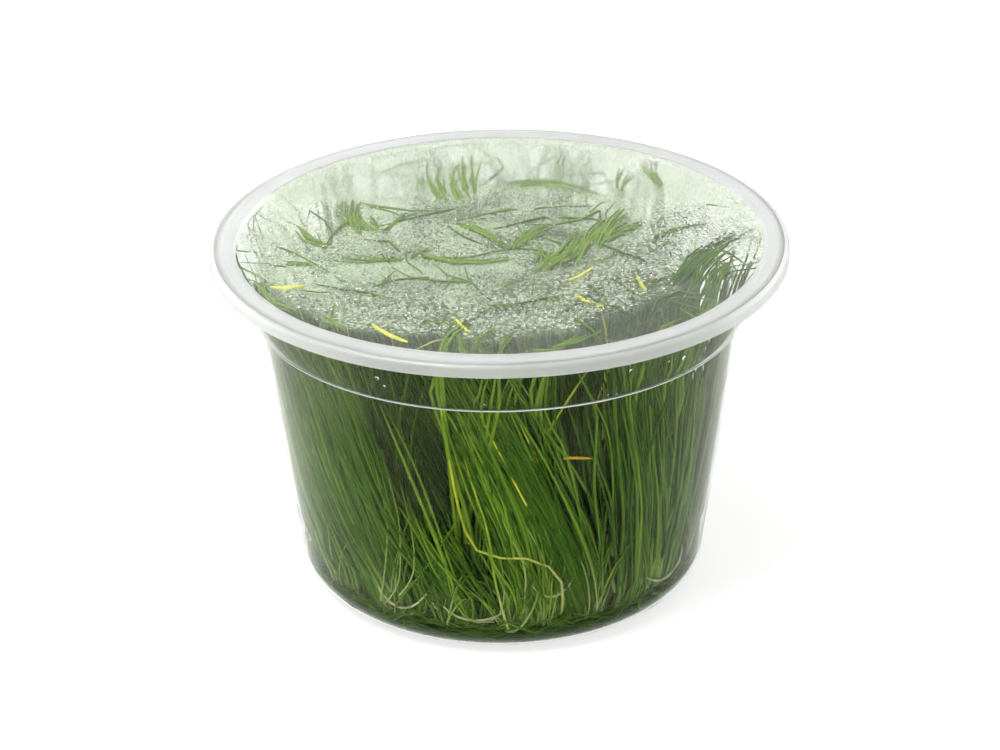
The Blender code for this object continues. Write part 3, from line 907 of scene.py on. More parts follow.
def curved(knots, steps):
    """A smooth curve through the knots of every blade, at even lengths along it."""
    before = 2.0 * knots[:, :1] - knots[:, 1:2]
    after = 2.0 * knots[:, -1:] - knots[:, -2:-1]
    ends = np.concatenate((before, knots, after), 1)
    t = np.linspace(0.0, 1.0, 6, endpoint=False)[None, :, None]
    spans = []
    for span in range(knots.shape[1] - 1):
        a, b, c, d = (ends[:, span + i, None] for i in range(4))
        spans.append(b + 0.5 * t * (c - a + t * (2 * a - 5 * b + 4 * c - d + t * (3 * (b - c) + d - a))))
    fine = np.concatenate(spans + [knots[:, -1:]], 1)
    lengths = np.linalg.norm(np.diff(fine, axis=1), axis=2)
    travelled = np.concatenate((np.zeros((len(fine), 1)), np.cumsum(lengths, 1)), 1)
    wanted = np.linspace(0.0, 1.0, steps)
    curve = np.empty((len(fine), steps, 3))
    for row in range(len(fine)):
        for axis in range(3):
            curve[row, :, axis] = np.interp(wanted * travelled[row, -1], travelled[row], fine[row, :, axis])
    return curve


def on_wall(bearing, z, depth):
    """Places a depth inside the cup's wall, from bearings in degrees and heights."""
    radius = inner_radius(z) - depth
    turn = np.radians(bearing)
    return np.stack((radius * np.sin(turn), -radius * np.cos(turn), np.broadcast_to(z, radius.shape)), -1)


def blade_widths(half_width, count, draw):
    """Full at the foot, drawn out to a fine tip."""
    share = np.linspace(0.0, 1.0, BLADE_POINTS)
    taper = 1.0 - 0.72 * share ** 5
    foot = 1.0 + 0.25 * (1.0 - smooth(share / 0.15))
    own = half_width * draw.uniform(0.62, 1.3, count)
    return own[:, None] * taper * foot


def wall_sheaf(row, crown_bearing, draw):
    """One combed sheaf: its blades leave the crown, turn up at the wall and lie side by side against it."""
    foot, top, foot_spread, top_spread, height, lean_over, count, tone = row
    count = round(count * SHEAF_FULLNESS)
    side = draw.uniform(-1.0, 1.0, (count, 1))
    depth = draw.uniform(0.0, 1.0, (count, 1)) ** 1.7
    climb = np.array((0.0, 0.14, 0.34, 0.56, 0.78, 1.0))
    reach = np.minimum(height * draw.uniform(0.74, 1.04, (count, 1)), UNDER_FILM - 1.5)
    z = SHEAF_FOOT + (reach - SHEAF_FOOT) * climb
    spread = mixed(foot_spread, top_spread, climb) * (side + draw.normal(0.0, 0.12, (count, 1)))
    drift = draw.normal(0.0, 1.6, (count, 1)) * climb + draw.normal(0.0, 0.7, (count, 6))
    bearing = foot + (top - foot) * climb ** lean_over + spread + drift
    from_wall = mixed(1.5, WALL_ROOM, smooth(climb * 2.4)) + 3.2 * depth
    wall = on_wall(bearing, z, from_wall)
    root = mixed(crown_bearing, foot, 0.5) + draw.normal(0.0, 1.6, (count, 1))
    crown = on_wall(root, CROWN_FOOT + draw.random((count, 1)), 3.4 + 2.4 * depth)
    turn_height = draw.uniform(3.4, 5.6, (count, 1))
    turn_up = on_wall(mixed(root, bearing[:, :1], 0.65), turn_height, 2.2 + 2.6 * depth)
    knots = [crown, turn_up, wall]
    if height > BENDING_SHEAF:
        inward = draw.uniform(1.0, 7.0, (count, 1))
        aside = bearing[:, -1:] + np.sign(top - foot + 0.1) * draw.uniform(0.0, 8.0, (count, 1))
        bent = smooth((reach - BEND_START) / BEND_RANGE)
        higher = mixed(reach + 1.2, UNDER_FILM - FILM_ROOM, bent)
        aside = mixed(bearing[:, -1:], aside, bent)
        halfway = on_wall(mixed(bearing[:, -1:], aside, 0.5), higher, inward * 0.5)
        knots += [halfway, on_wall(aside, higher, inward)]
    lines = curved(np.concatenate(knots, 1), SHEAF_CURVE_POINTS)
    lines = evenly(keep_inside(lines), draw.uniform(0.80, 1.0, count))
    # Blades set deeper in from the wall get darker tones: painted shade for the darkness further into the
    # sheaf
    tones = np.clip(tone + 0.02 + draw.normal(0.0, 0.21, count) - 0.46 * depth[:, 0], 0.0, 0.86)
    return lines, tones


def floor_blades(crown, count, draw):
    """Short and fallen blades that lie in the gel and in the rounded corner of the base."""
    angle = draw.uniform(0.0, math.tau, count)
    turn = draw.normal(0.0, 0.9, count)
    reach = draw.uniform(10.0, 26.0, count)
    share = np.linspace(0.0, 1.0, 6)
    bearing = angle[:, None] + turn[:, None] * share
    step = reach[:, None] / 5.0
    lines = np.zeros((count, 6, 3))
    lines[:, 1:, 0] = np.cumsum(step * np.cos(bearing[:, 1:]), 1)
    lines[:, 1:, 1] = np.cumsum(step * np.sin(bearing[:, 1:]), 1)
    lines[..., :2] += crown + draw.normal(0.0, 1.6, (count, 1, 2))
    rise = draw.uniform(-0.5, 4.5, (count, 1))
    lines[..., 2] = draw.uniform(1.6, 3.8, (count, 1)) + rise * share ** 2
    lines = keep_inside(lines)
    return evenly(curved(lines, SHORT_CURVE_POINTS), np.ones(count)), draw.uniform(0.15, 0.7, count)


def corner_blades(crown_bearing, count, draw):
    """Blades that lie along the rounded corner of the base and rise a little."""
    share = np.linspace(0.0, 1.0, 6)
    start = crown_bearing + draw.uniform(-14.0, 14.0, (count, 1))
    sweep = draw.choice((-1.0, 1.0), (count, 1)) * draw.uniform(14.0, 40.0, (count, 1))
    z = draw.uniform(0.8, 3.6, (count, 1)) + draw.uniform(0.0, 4.0, (count, 1)) * share ** 2
    depth = draw.uniform(0.3, 2.0, (count, 1)) + 3.0 * (1.0 - share) ** 3
    curves = curved(on_wall(start + sweep * share, z, depth), SHORT_CURVE_POINTS)
    lines = keep_inside(curves, floor=CORNER_ROOM)
    return evenly(lines, np.ones(count)), draw.uniform(0.10, 0.62, count)


def fountain(row, draw):
    """Short pale-footed blades that arch up and out from one spot at the foot of the wall."""
    foot, height, spread, count, tone = row
    side = draw.uniform(-1.0, 1.0, (count, 1))
    rise = height * draw.uniform(0.45, 1.0, (count, 1))
    climb = np.array((0.0, 0.25, 0.55, 0.82, 1.0))
    arch = climb + 0.0 * side
    arch[:, 3:] -= 0.22 * np.abs(side) * np.array((0.3, 1.0))
    z = draw.uniform(3.0, 4.6, (count, 1)) + rise * arch
    bearing = foot + spread * side * climb ** 1.3 + draw.normal(0.0, 1.2, (count, 1))
    depth = draw.uniform(0.40, 1.6, (count, 1)) + 1.2 * (1.0 - climb) ** 2
    lines = keep_inside(curved(on_wall(bearing, z, depth), SHORT_CURVE_POINTS))
    return evenly(lines, np.ones(count)), np.clip(tone + draw.normal(0.0, 0.12, count), 0.0, 0.88)


def under_film(crown, start, middle, end, draw):
    """Blades that rise from a crown, bend over at the film and lie flat against it along a stroke."""
    count = len(start)
    press = draw.uniform(PRESSED_LOW, PRESSED_HIGH, count)
    press = press - HAZED * smooth((middle[:, 1] - HAZE_START) / HAZE_FADE)
    way = unit(end - start + 1e-6)
    lean = start - crown
    knots = np.empty((count, 8, 3))
    for index, (along, height) in enumerate(FILM_RISE):
        knots[:, index, :2] = crown + lean * along
        knots[:, index, 2] = height
    knots[:, 3, :2] -= way * 3.0
    knots[:, 4, :2] -= way * 1.2
    knots[:, :4, :2] += draw.normal(0.0, 0.8, (count, 4, 2))
    knots[:, 5, :2] = start
    knots[:, 6, :2] = middle
    knots[:, 7, :2] = end
    knots[:, 4, 2] = press - 1.5
    knots[:, 5:, 2] = press[:, None]
    lines = keep_inside(curved(knots, FILM_CURVE_POINTS), PRESSED_HIGH)
    return evenly(lines, np.ones(count))


def pressed_blades(crown, count, draw):
    """A few blades that have outgrown the cup and lie any way under the film."""
    start = crown * 1.1 + draw.normal(0.0, 6.0, (count, 2))
    start *= np.minimum(1.0, 38.0 / np.linalg.norm(start, axis=1, keepdims=True))
    angle = draw.uniform(0.0, math.tau, (count, 1)) + np.array((0.0, 1.0)) * draw.normal(0.0, 0.5, (count, 1))
    run = draw.uniform(3.0, 8.0, (count, 1))
    middle = start + run * np.stack((np.cos(angle[:, 0]), np.sin(angle[:, 0])), 1)
    end = middle + run * np.stack((np.cos(angle[:, 1]), np.sin(angle[:, 1])), 1)
    return under_film(crown, start, middle, end, draw), draw.uniform(0.45, 0.85, count)


def stroke_blades(row, crown, draw):
    """One clump of blades that lie side by side against the film."""
    start, end, bow, spread, count, _, tone = row
    count = round(count * STROKE_FULLNESS)
    along = unit(np.subtract(end, start))
    across = np.array((-along[1], along[0]))
    length = float(np.linalg.norm(np.subtract(end, start)))
    side = draw.uniform(-1.3, 1.3, (count, 1)) * spread
    starts = np.array(start) + side * across + draw.normal(0.0, 0.10 * length, (count, 1)) * along
    ends = np.array(end) + 1.3 * side * across - draw.uniform(-0.05, 0.45, (count, 1)) * length * along
    ends += draw.normal(0.0, 0.05 * length, (count, 1)) * across
    middles = 0.5 * (starts + ends) + (bow + draw.normal(0.0, 0.25, (count, 1))) * across
    lines = under_film(crown, starts, middles, ends, draw)
    tones = np.clip(tone + 0.10 + draw.normal(0.0, 0.05, count), 0.2, 0.83)
    return lines, tones


def clear_of_gaps(lines):
    """Which blades stay out of the clearings at the front."""
    bearing = np.degrees(np.arctan2(lines[..., 0], -lines[..., 1]))
    depth = inner_radius(lines[..., 2]) - np.linalg.norm(lines[..., :2], axis=-1)
    clear = np.ones(len(lines), bool)
    for middle, half_width, low, high in CLEARINGS:
        within = (np.abs(bearing - middle) < half_width) & (lines[..., 2] > low) & (lines[..., 2] < high)
        clear &= ~(within & (depth < CLEARING_DEPTH)).any(axis=1)
    return clear


def free_blades(ring, share, bearing, crown, draw):
    """Sheaves of near parallel blades that stand up from the crown, and some strays."""
    count = BLADES_BY_RING[ring]
    outward = np.array((math.sin(bearing), -math.cos(bearing)))
    sideways = np.array((math.cos(bearing), math.sin(bearing)))
    sheaf = draw.integers(0, SHEAVES, count)
    sheaf_angle = draw.uniform(0.0, math.tau, SHEAVES)
    sheaf_slope = draw.normal(0.0, (0.20, 0.17), (SHEAVES, 2))
    sheaf_tone = draw.uniform(-0.16, 0.16, SHEAVES)
    angle = sheaf_angle[sheaf] + draw.normal(0.0, 0.5, count)
    away = np.stack((np.cos(angle), np.sin(angle)), 1)
    feet = np.empty((count, 3))
    feet[:, :2] = crown + away * draw.uniform(0.3, 2.9, count)[:, None]
    feet[:, 2] = draw.uniform(2.0, GEL_TOP, count)
    headings = np.empty((count, 3))
    headings[:, :2] = away * draw.uniform(0.15, 0.95, count)[:, None]
    headings[:, 2] = 1.0
    sway = SWAY_MEAN + SWAY_SWING * math.cos(bearing - SWAY_BEARING)
    lean = sway * share * float(inner_radius(BLADE_HEIGHT / 2)) / BLADE_HEIGHT * 1.15
    slope = sheaf_slope[sheaf] + draw.normal(0.0, 0.04, (count, 2))
    slope[:, 0] += lean
    slope[:, 1] += 0.02 + 0.12 * share
    stray = draw.random(count) < STRAY_SHARE
    slope[stray] += draw.normal(0.0, 0.30, (int(stray.sum()), 2))
    slopes = slope[:, :1] * sideways + slope[:, 1:] * outward
    curl_angle = draw.uniform(0.0, math.tau, count)
    curls = np.stack((np.cos(curl_angle), np.sin(curl_angle)), 1) * draw.uniform(0.0, 0.35, count)[:, None]
    lengths = draw.triangular(*BLADE_LENGTHS, count)
    if short_behind(ring, math.degrees(bearing)):
        lengths *= draw.uniform(*SHORTENED, count)
    lines = grow(feet, headings, slopes, curls, lengths, draw)
    tones = np.clip(draw.beta(2.2, 2.6, count) * 0.85 + sheaf_tone[sheaf], 0.0, 0.88)
    tones[draw.random(count) < STRAW_SHARE] = STRAW_TONE
    clear = clear_of_gaps(lines)
    return lines[clear], tones[clear]


def apart(first, second):
    """How far apart two bearings are, in degrees."""
    return abs((first - second + 180.0) % 360.0 - 180.0)


def short_behind(ring, bearing):
    """Whether a plantlet is one of those at the back whose blades stay low."""
    return ring >= 2 and abs(bearing) > 95.0 and min(apart(bearing, tall) for tall in TALL_BEHIND) > 12.0


def at_wall(bearing):
    """The plantlet of the outer ring that stands nearest to a bearing."""
    outer = [number for number, place in enumerate(PLACES) if place[0] == OUTER_RING]
    return min(outer, key=lambda number: apart(bearing, PLACES[number][1]))


def below_stroke(start, end):
    """The plantlet whose blades reach a stroke under the film: it stands a little behind the start."""
    behind = np.array(start) - unit(np.subtract(end, start)) * STROKE_RISE
    return min(range(len(PLACES)), key=lambda number: float(np.linalg.norm(PLACES[number][2] - behind)))


def sheaves_of(number, draw):
    """The rows of the sheaves that one plantlet of the outer ring sends up the wall."""
    rows = [row for row in WALL_SHEAVES if at_wall(row[0]) == number]
    bearing = PLACES[number][1]
    if abs(bearing) > 90.0:
        heights = (30.0, 40.0, 46.0) if short_behind(OUTER_RING, bearing) else (44.0, 54.0, 62.0)
        for _ in range(BACK_SHEAVES):
            foot = bearing + draw.uniform(-11.0, 11.0)
            top = foot + draw.normal(-4.0, 15.0)
            spread = draw.uniform(4.0, 8.0, 2)
            height = draw.choice(heights)
            lean_over = draw.uniform(1.0, 1.5)
            rows.append((foot, top, *spread, height, lean_over, BACK_SHEAF_BLADES, BACK_SHEAF_TONE))
    return rows


def fountains_of(number, draw):
    """The rows of the short blades at the foot of the wall, drawn at random behind."""
    rows = [row for row in FOUNTAINS if at_wall(row[0]) == number]
    bearing = PLACES[number][1]
    if abs(bearing) > 80.0:
        foot = bearing + draw.uniform(-8.0, 8.0)
        height = draw.uniform(12.0, 20.0)
        spread = draw.uniform(9.0, 16.0)
        rows.append((foot, height, spread, BACK_FOUNTAIN_BLADES, BACK_FOUNTAIN_TONE))
    return rows


def grow_tuft(settings, number, seed):
    """One plantlet: its blades' lines, widths, tones and shares of pale foot."""
    draw = np.random.default_rng(seed)
    ring, degrees, crown = PLACES[number]
    half_width = settings.half_width / MM
    parts = []

    def keep(grown, width, palest=PALE_FOOT):
        lines, tones = grown
        count = len(lines)
        feet = mixed(*palest, draw.random(count) ** 1.8)
        parts.append((lines, blade_widths(width, count, draw), tones, feet))

    keep(free_blades(ring, RINGS[ring][1], math.radians(degrees), crown, draw), half_width)
    keep(floor_blades(crown, FLOOR_BLADES_BY_RING[ring], draw), half_width)
    keep(pressed_blades(crown, PRESSED_BY_RING[ring], draw), PRESSED_WIDTH)
    for row in FILM_STROKES:
        if below_stroke(row[0], row[1]) == number:
            keep(stroke_blades(row, crown, draw), row[5] * STROKE_WIDENING)
    if ring == OUTER_RING:
        keep(corner_blades(degrees, CORNER_BLADES, draw), half_width)
        for row in sheaves_of(number, draw):
            keep(wall_sheaf(row, degrees, draw), half_width)
        for row in fountains_of(number, draw):
            keep(fountain(row, draw), FOUNTAIN_WIDTH, FOUNTAIN_FOOT)
        for tone, width, foot, points in LONE_BLADES:
            if at_wall(points[0][0]) == number:
                knots = on_wall(*np.array(points, float).T[:, None])
                keep((keep_inside(curved(knots, BLADE_POINTS)), np.array([tone])), width, (foot, foot))
    return tuple(np.concatenate(kind) for kind in zip(*parts))


def make_tufts(settings):
    material = leaf_material(settings)
    tree = tube_tree()
    for number in range(len(PLACES)):
        name = "%02d" % (number + 1)
        tuft = line_object("grass_" + name, *grow_tuft(settings, number, settings.seed * 100 + number + 1))
        grow_through(tuft, tree, {"Sides": BLADE_SIDES, "Material": material})
        finish_piece(tuft, ["tuft_" + name])


# Runners, roots and scraps

RUNNER_RADIUS = 0.40
RUNNER_WIDTH = 0.23
RUNNER_WALL_GAP = 1.0
RUNNER_END_ROOM = 2.6
RUNNER_END_CURVE = 5
RUNNER_POINTS = 25
RUNNER_SIDES = 8
RUNNERS = (
    (-31.0, 11.0, 1.2, 7.5),
    (-8.5, 12.0, 1.0, 4.5),
    (13.5, 9.0, 5.5, 12.0),
    (55.0, 14.0, 1.0, 6.0),
    (98.0, 12.0, 1.5, 8.0),
    (150.0, 14.0, 1.0, 5.0),
    (-140.0, 13.0, 1.2, 7.0),
    (-85.0, 14.0, 1.0, 6.5),
)


def runner_line(middle, half_width, low, high):
    """A stem that leaves one crown, dips along the wall and climbs to the next one."""
    across = np.linspace(-1.0, 1.0, RUNNER_POINTS)
    bearing = np.radians(middle + half_width * across)
    z = GEL_TOP + TOUCH_GAP + RUNNER_RADIUS + low + (high - low) * across ** 2
    radius = inner_radius(z) - RUNNER_WALL_GAP - RUNNER_END_ROOM * np.abs(across) ** RUNNER_END_CURVE
    line = np.stack((radius * np.sin(bearing), -radius * np.cos(bearing), z), 1)
    widths = RUNNER_WIDTH * (1.0 - 0.3 * np.abs(across)) * (1.0 + 0.1 * np.sin(across * 19.0))
    return line, widths


def make_runners():
    material = stem_material("runner", (0.50, 0.50, 0.28), (0.26, 0.30, 0.12), 500.0)
    tree = tube_tree()
    for number, (middle, half_width, low, high) in enumerate(RUNNERS, start=1):
        line, widths = runner_line(middle, half_width, low, high)
        stem = line_object("stem_%02d" % number, line[None], widths[None], np.zeros(1))
        grow_through(stem, tree, {"Sides": RUNNER_SIDES, "Material": material})
        finish_piece(stem, ["runner_%02d" % number])


ROOTS = 9
ROOT_POINTS = 9
ROOT_SIDES = 3
ROOT_TOP = 3.6
ROOT_WALL_GAP = 1.2


def make_roots(seed):
    """Fine pale roots that spread from every crown down into the gel."""
    draw = np.random.default_rng(seed)
    feet = np.array([(*crown, ROOT_TOP) for _, _, crown in PLACES for _ in range(ROOTS)])
    count = len(feet)
    angle = draw.uniform(0.0, math.tau, count)
    share = np.linspace(0.0, 1.0, ROOT_POINTS)
    reach = draw.uniform(4.0, 13.0, count)
    curve = draw.normal(0.0, 0.7, count)
    turn = angle[:, None] + curve[:, None] * share
    lines = np.empty((count, ROOT_POINTS, 3))
    lines[..., 0] = feet[:, :1] + reach[:, None] * share * np.cos(turn)
    lines[..., 1] = feet[:, 1:2] + reach[:, None] * share * np.sin(turn)
    drop = draw.uniform(0.6, 2.0, count)
    lines[..., 2] = feet[:, 2:] - drop[:, None] * smooth(share * 1.6)
    radius = np.linalg.norm(lines[..., :2], axis=2)
    room = inner_radius(lines[..., 2], ROOT_WALL_GAP)
    lines[..., :2] *= np.minimum(1.0, room / np.maximum(radius, 1e-6))[..., None]
    widths = draw.uniform(0.10, 0.17, count)[:, None] * (1.0 - 0.5 * share)
    material = stem_material("root", (0.60, 0.60, 0.40), (0.36, 0.37, 0.18), 700.0)
    roots = line_object("fine_roots", lines, widths, np.zeros(count))
    grow_through(roots, tube_tree(), {"Sides": ROOT_SIDES, "Material": material})
    finish_piece(roots)


SCRAPS = (
    ((-38.7, -17.2), (-32.8, -17.0)),
    ((-21.1, -32.6), (-15.2, -39.2)),
    ((11.7, -16.0), (15.7, -11.3)),
    ((23.2, -14.7), (24.5, -20.4)),
    ((12.6, -22.0), (17.1, -26.5)),
    ((-7.5, -30.4), (-5.0, -35.8)),
)
SCRAP_HEIGHT = 61.95
SCRAP_RADIUS = 0.33
SCRAP_BOW = 0.35
SCRAP_HALO = 2.2
SCRAP_POINTS = 9
SCRAP_SIDES = 6


def make_scraps():
    """Yellowed cut ends of blades that stick under the film."""
    material = stem_material("straw", (0.86, 0.78, 0.10), (0.62, 0.66, 0.07), 300.0)
    tree = tube_tree()
    share = np.linspace(0.0, 1.0, SCRAP_POINTS)
    for number, (start, end) in enumerate(SCRAPS, start=1):
        line = np.empty((SCRAP_POINTS, 3))
        line[:, 0] = mixed(start[0], end[0], share)
        line[:, 1] = mixed(start[1], end[1], share)
        line[:, 2] = SCRAP_HEIGHT - SCRAP_BOW * np.sin(math.pi * share)
        widths = SCRAP_RADIUS * (0.45 + 0.55 * np.sin(math.pi * share) ** 0.6)
        scrap = line_object("scrap_%02d" % number, line[None], widths[None], np.ones(1))
        grow_through(scrap, tree, {"Sides": SCRAP_SIDES, "Material": material})
        finish_piece(scrap, ["blade_scrap_%02d" % number])


# The cup

MILKY_RADIUS = MOUTH_RADIUS + 0.02


def cup_profile():
    """The cup's upper and inner face, from the skirt's foot over the rim and down to the floor."""
    rim_centre = (RIM_RADIUS - RIM_ROUNDING, CUP_HEIGHT - RIM_ROUNDING)
    mouth_centre = (MOUTH_RADIUS + MOUTH_ROUNDING, CUP_HEIGHT - MOUTH_ROUNDING)
    profile = [(RIM_RADIUS, CUP_HEIGHT - SKIRT_DROP), (RIM_RADIUS, CUP_HEIGHT - SKIRT_DROP * 0.7)]
    profile += arc(rim_centre, RIM_ROUNDING, 0.0, math.pi / 2, 8)
    profile += [(mixed(RIM_RADIUS - RIM_ROUNDING, MOUTH_RADIUS + MOUTH_ROUNDING, 0.5), CUP_HEIGHT)]
    profile += arc(mouth_centre, MOUTH_ROUNDING, math.pi / 2, math.pi, 5)
    for z in np.linspace(MOUTH_FOOT, SHOULDER_TOP + 0.35, 6)[1:]:
        profile.append((float(inner_radius(z)), float(z)))
    for share in np.linspace(0.0, 1.0, 7):
        z = mixed(SHOULDER_TOP + 0.15, SHOULDER_FOOT - 0.15, float(share))
        profile.append((mixed(SHOULDER_OUTER, SHOULDER_INNER, float(smooth(share))), z))
    for z in np.linspace(SHOULDER_FOOT - 0.5, CORNER_TOP + 0.5, 10):
        profile.append((float(inner_radius(z)), float(z)))
    profile += arc((CORNER_X, CORNER_Z), BASE_ROUNDING, -WALL_LEAN, -math.pi / 2, 12)
    for share in (0.75, 0.5, 0.25, 0.0):
        profile.append((CORNER_X * share, FLOOR))
    return profile


def make_cup(settings):
    cup = turned("clear_cup", cup_profile(), settings.turn_steps)
    wall = cup.modifiers.new("Wall", "SOLIDIFY")
    wall.thickness = PLASTIC * MM
    wall.offset = 1.0
    wall.use_even_offset = True
    settle(cup)
    mesh = cup.data
    mesh.materials.clear()
    mesh.materials.append(clear_plastic_material(settings))
    mesh.materials.append(rim_material(settings, "milky_rim", 0.78))
    mesh.materials.append(rim_material(settings, "milky_shoulder", 0.35))
    for face in mesh.polygons:
        height = face.center.z / MM
        if math.hypot(face.center.x, face.center.y) / MM > MILKY_RADIUS:
            face.material_index = 1
        elif SHOULDER_FOOT < height < SHOULDER_TOP:
            face.material_index = 2
    mesh.shade_smooth()
    mesh.set_sharp_from_angle(angle=math.radians(50.0))
    finish_piece(cup, ["cup"])


# The film, its mist and the drops

MIST_CENTRE = (-4.0, 6.0)
MIST_REACH = (40.5, 44.0)
CALM_CENTRE = (-13.0, -12.0)
CALM_REACH = (17.0, 5.0)
FOG_EDGE = 0.90
FOG_FADE = 0.14
SMALLEST_BEAD = 0.15
SHEET_STEP = 1.2
SHEET_TURN_STEPS = 120
GEL_TURN_STEPS = 96

# Strength of the mist under the film: in the clear strip, elsewhere, and what each zone adds
VEIL_CLEAR = 0.09
VEIL_COMMON = 0.44
VEIL_BACK = 0.06
VEIL_LEFT = 0.12
VEIL_CALM = 0.14
VEIL_PATCHES = 0.70

# Strength of the mist on the wall: everywhere, and what each zone adds
WALL_VEIL = 0.002
WALL_VEIL_LEFT = 0.060
WALL_VEIL_RIGHT = 0.034
WALL_VEIL_TOP = 0.034
WALL_VEIL_FOOT = 0.028
WALL_VEIL_GAP = 0.035


def film_wave(x, y, height):
    """How far the film stands off flat at a place, in millimetres: slow waves that die out at the rim."""
    inside = 1.0 - float(smooth((math.hypot(x, y) - MOUTH_RADIUS + 7.0) / 6.0))
    slow = noise.noise(Vector((x * 0.045, y * 0.06, 3.1)))
    quick = noise.noise(Vector((x * 0.12, y * 0.16, 8.7)))
    return height * inside * (slow + 0.4 * quick)


def mist_at(x, y):
    """Under the film at a place: how strong the mist is, how fogged, how beaded and how large the drops."""
    wobble = noise.noise(Vector((x * 0.10, y * 0.10, 1.3))) * 0.10
    reach = math.hypot((x - MIST_CENTRE[0]) / MIST_REACH[0], (y - MIST_CENTRE[1]) / MIST_REACH[1]) + wobble
    front_edge = 1.0 - float(smooth((reach - FOG_EDGE) / FOG_FADE))
    inside = max(front_edge, float(smooth((y + 0.3 * x - 2.0) / 12.0)))
    calm_x = (x - CALM_CENTRE[0]) / CALM_REACH[0]
    calm_y = (y - CALM_CENTRE[1]) / CALM_REACH[1]
    calm = math.exp(-calm_x ** 2 - calm_y ** 2)
    patches = noise.noise(Vector((x * 0.11, y * 0.17, 5.5))) * 0.5 + 0.5
    back = float(smooth((y - 2.0 + 14.0 * (patches - 0.5)) / 24.0))
    left = float(smooth((-x - 16.0) / 18.0))
    front = float(smooth((reach - 0.50) / 0.34))
    beaded = inside * (1.0 - 0.9 * calm) * (1.0 - back) * (1.0 - 0.6 * left) * (0.25 + 0.75 * front)
    fogged = VEIL_COMMON + VEIL_BACK * back + VEIL_LEFT * left + VEIL_CALM * calm
    fogged += VEIL_PATCHES * (patches - 0.5) * (1.0 - 0.5 * back)
    veil = mixed(VEIL_CLEAR, fogged, inside)
    fog = inside * (1.0 - beaded) * max(back, calm, 0.4)
    bead_size = SMALLEST_BEAD + (1.0 - SMALLEST_BEAD) * front * (1.0 - back)
    return veil, fog, beaded, bead_size


def disc_mesh(name, radius, step, height):
    """A flat disc of small squares whose rim follows the circle; height gives the place of each point."""
    mesh = bpy.data.meshes.new(name)
    shape = bmesh.new()
    count = int(math.ceil(2.0 * radius / step))
    bmesh.ops.create_grid(shape, x_segments=count, y_segments=count, size=radius)
    for vertex in shape.verts:
        x, y = vertex.co.x, vertex.co.y
        square = max(abs(x), abs(y))
        distance = math.hypot(x, y)
        if distance > 0.0:
            pulled = mixed(1.0, square / distance, float(smooth(square / radius)))
            x, y = x * pulled, y * pulled
        vertex.co = Vector((x, y, height(x, y))) * MM
    shape.to_mesh(mesh)
    shape.free()
    return mesh


def make_film(settings):
    def height(x, y):
        return FILM_FOOT + film_wave(x, y, settings.wave / MM)

    film = show("sealed_film", disc_mesh("sealed_film", FILM_RADIUS, SHEET_STEP, height))
    marks = [mist_at(point.co.x / MM, point.co.y / MM) for point in film.data.vertices]
    paint(film.data, "fog", [mark[1] for mark in marks])
    paint(film.data, "beaded", [mark[2] for mark in marks])
    film.data.materials.append(film_material())
    film.data.materials.append(rim_material(bpy.context.scene.hairgrass_cup, "sealed_rim", 0.79))
    for face in film.data.polygons:
        face.material_index = 1 if math.hypot(face.center.x, face.center.y) / MM > MILKY_RADIUS else 0
    wall = film.modifiers.new("Thickness", "SOLIDIFY")
    wall.thickness = settings.thickness
    wall.offset = 1.0
    settle(film)
    film.data.shade_smooth()
    finish_piece(film, ["film_lid"])


def make_mist(settings):
    """The fogged layer, a hair under the film."""
    def height(x, y):
        gap = mixed(HAZE_GAP, EDGE_GAP, float(smooth((math.hypot(x, y) - MOUTH_RADIUS + 6.0) / 6.0)))
        return FILM_FOOT - gap + film_wave(x, y, settings.wave / MM)

    mist = show("mist_layer", disc_mesh("mist_layer", MOUTH_RADIUS - 0.15, SHEET_STEP, height))
    marks = [mist_at(point.co.x / MM, point.co.y / MM) for point in mist.data.vertices]
    paint(mist.data, "veil", [mark[0] for mark in marks])
    paint(mist.data, "beaded", [mark[2] for mark in marks])
    mist.data.materials.append(mist_material("film_mist", settings.mist))
    mist.data.shade_smooth()
    finish_piece(mist)


def wall_mist_at(x, y, z):
    """Strength of the mist on the wall, most of it at the sides, under the rim and near the foot."""
    patches = noise.noise(Vector((x * 0.07, y * 0.07, z * 0.05))) * 0.5 + 0.5
    left = float(smooth((-x - 10.0) / 24.0))
    right = float(smooth((x - 14.0) / 20.0))
    top = float(smooth((z - SHOULDER_TOP + 14.0) / 14.0))
    foot = float(smooth((20.0 - z) / 14.0))
    bearing = math.degrees(math.atan2(x, -y))
    gap = 0.0
    for middle, half_width, low, high in CLEARINGS:
        beside = float(smooth((half_width * 1.3 - abs(bearing - middle)) / (half_width * 0.6)))
        level = float(smooth((z - low) / 6.0)) * float(smooth((high + 4.0 - z) / 4.0))
        gap = max(gap, beside * level)
    sides = WALL_VEIL + WALL_VEIL_LEFT * left + WALL_VEIL_RIGHT * right
    spread = sides + WALL_VEIL_TOP * top + WALL_VEIL_FOOT * foot
    return spread * (0.2 + 1.6 * patches) + WALL_VEIL_GAP * gap * (1.0 - 0.6 * top)


def make_wall_mist(settings):
    """A breath of mist on the inner face of the wall."""
    heights = np.linspace(MOUTH_FOOT - 0.6, CORNER_TOP, 40)
    profile = [(float(inner_radius(z, WALL_MIST_GAP)), float(z)) for z in heights]
    mist = turned("wall_mist", profile, SHEET_TURN_STEPS)
    settle(mist)
    mesh = mist.data
    paint(mesh, "veil", [wall_mist_at(*(point.co / MM)) for point in mesh.vertices])
    paint(mesh, "beaded", np.zeros(len(mesh.vertices)))
    mesh.materials.clear()
    mesh.materials.append(mist_material("wall_mist", settings.wall_mist))
    mesh.shade_smooth()
    finish_piece(mist)


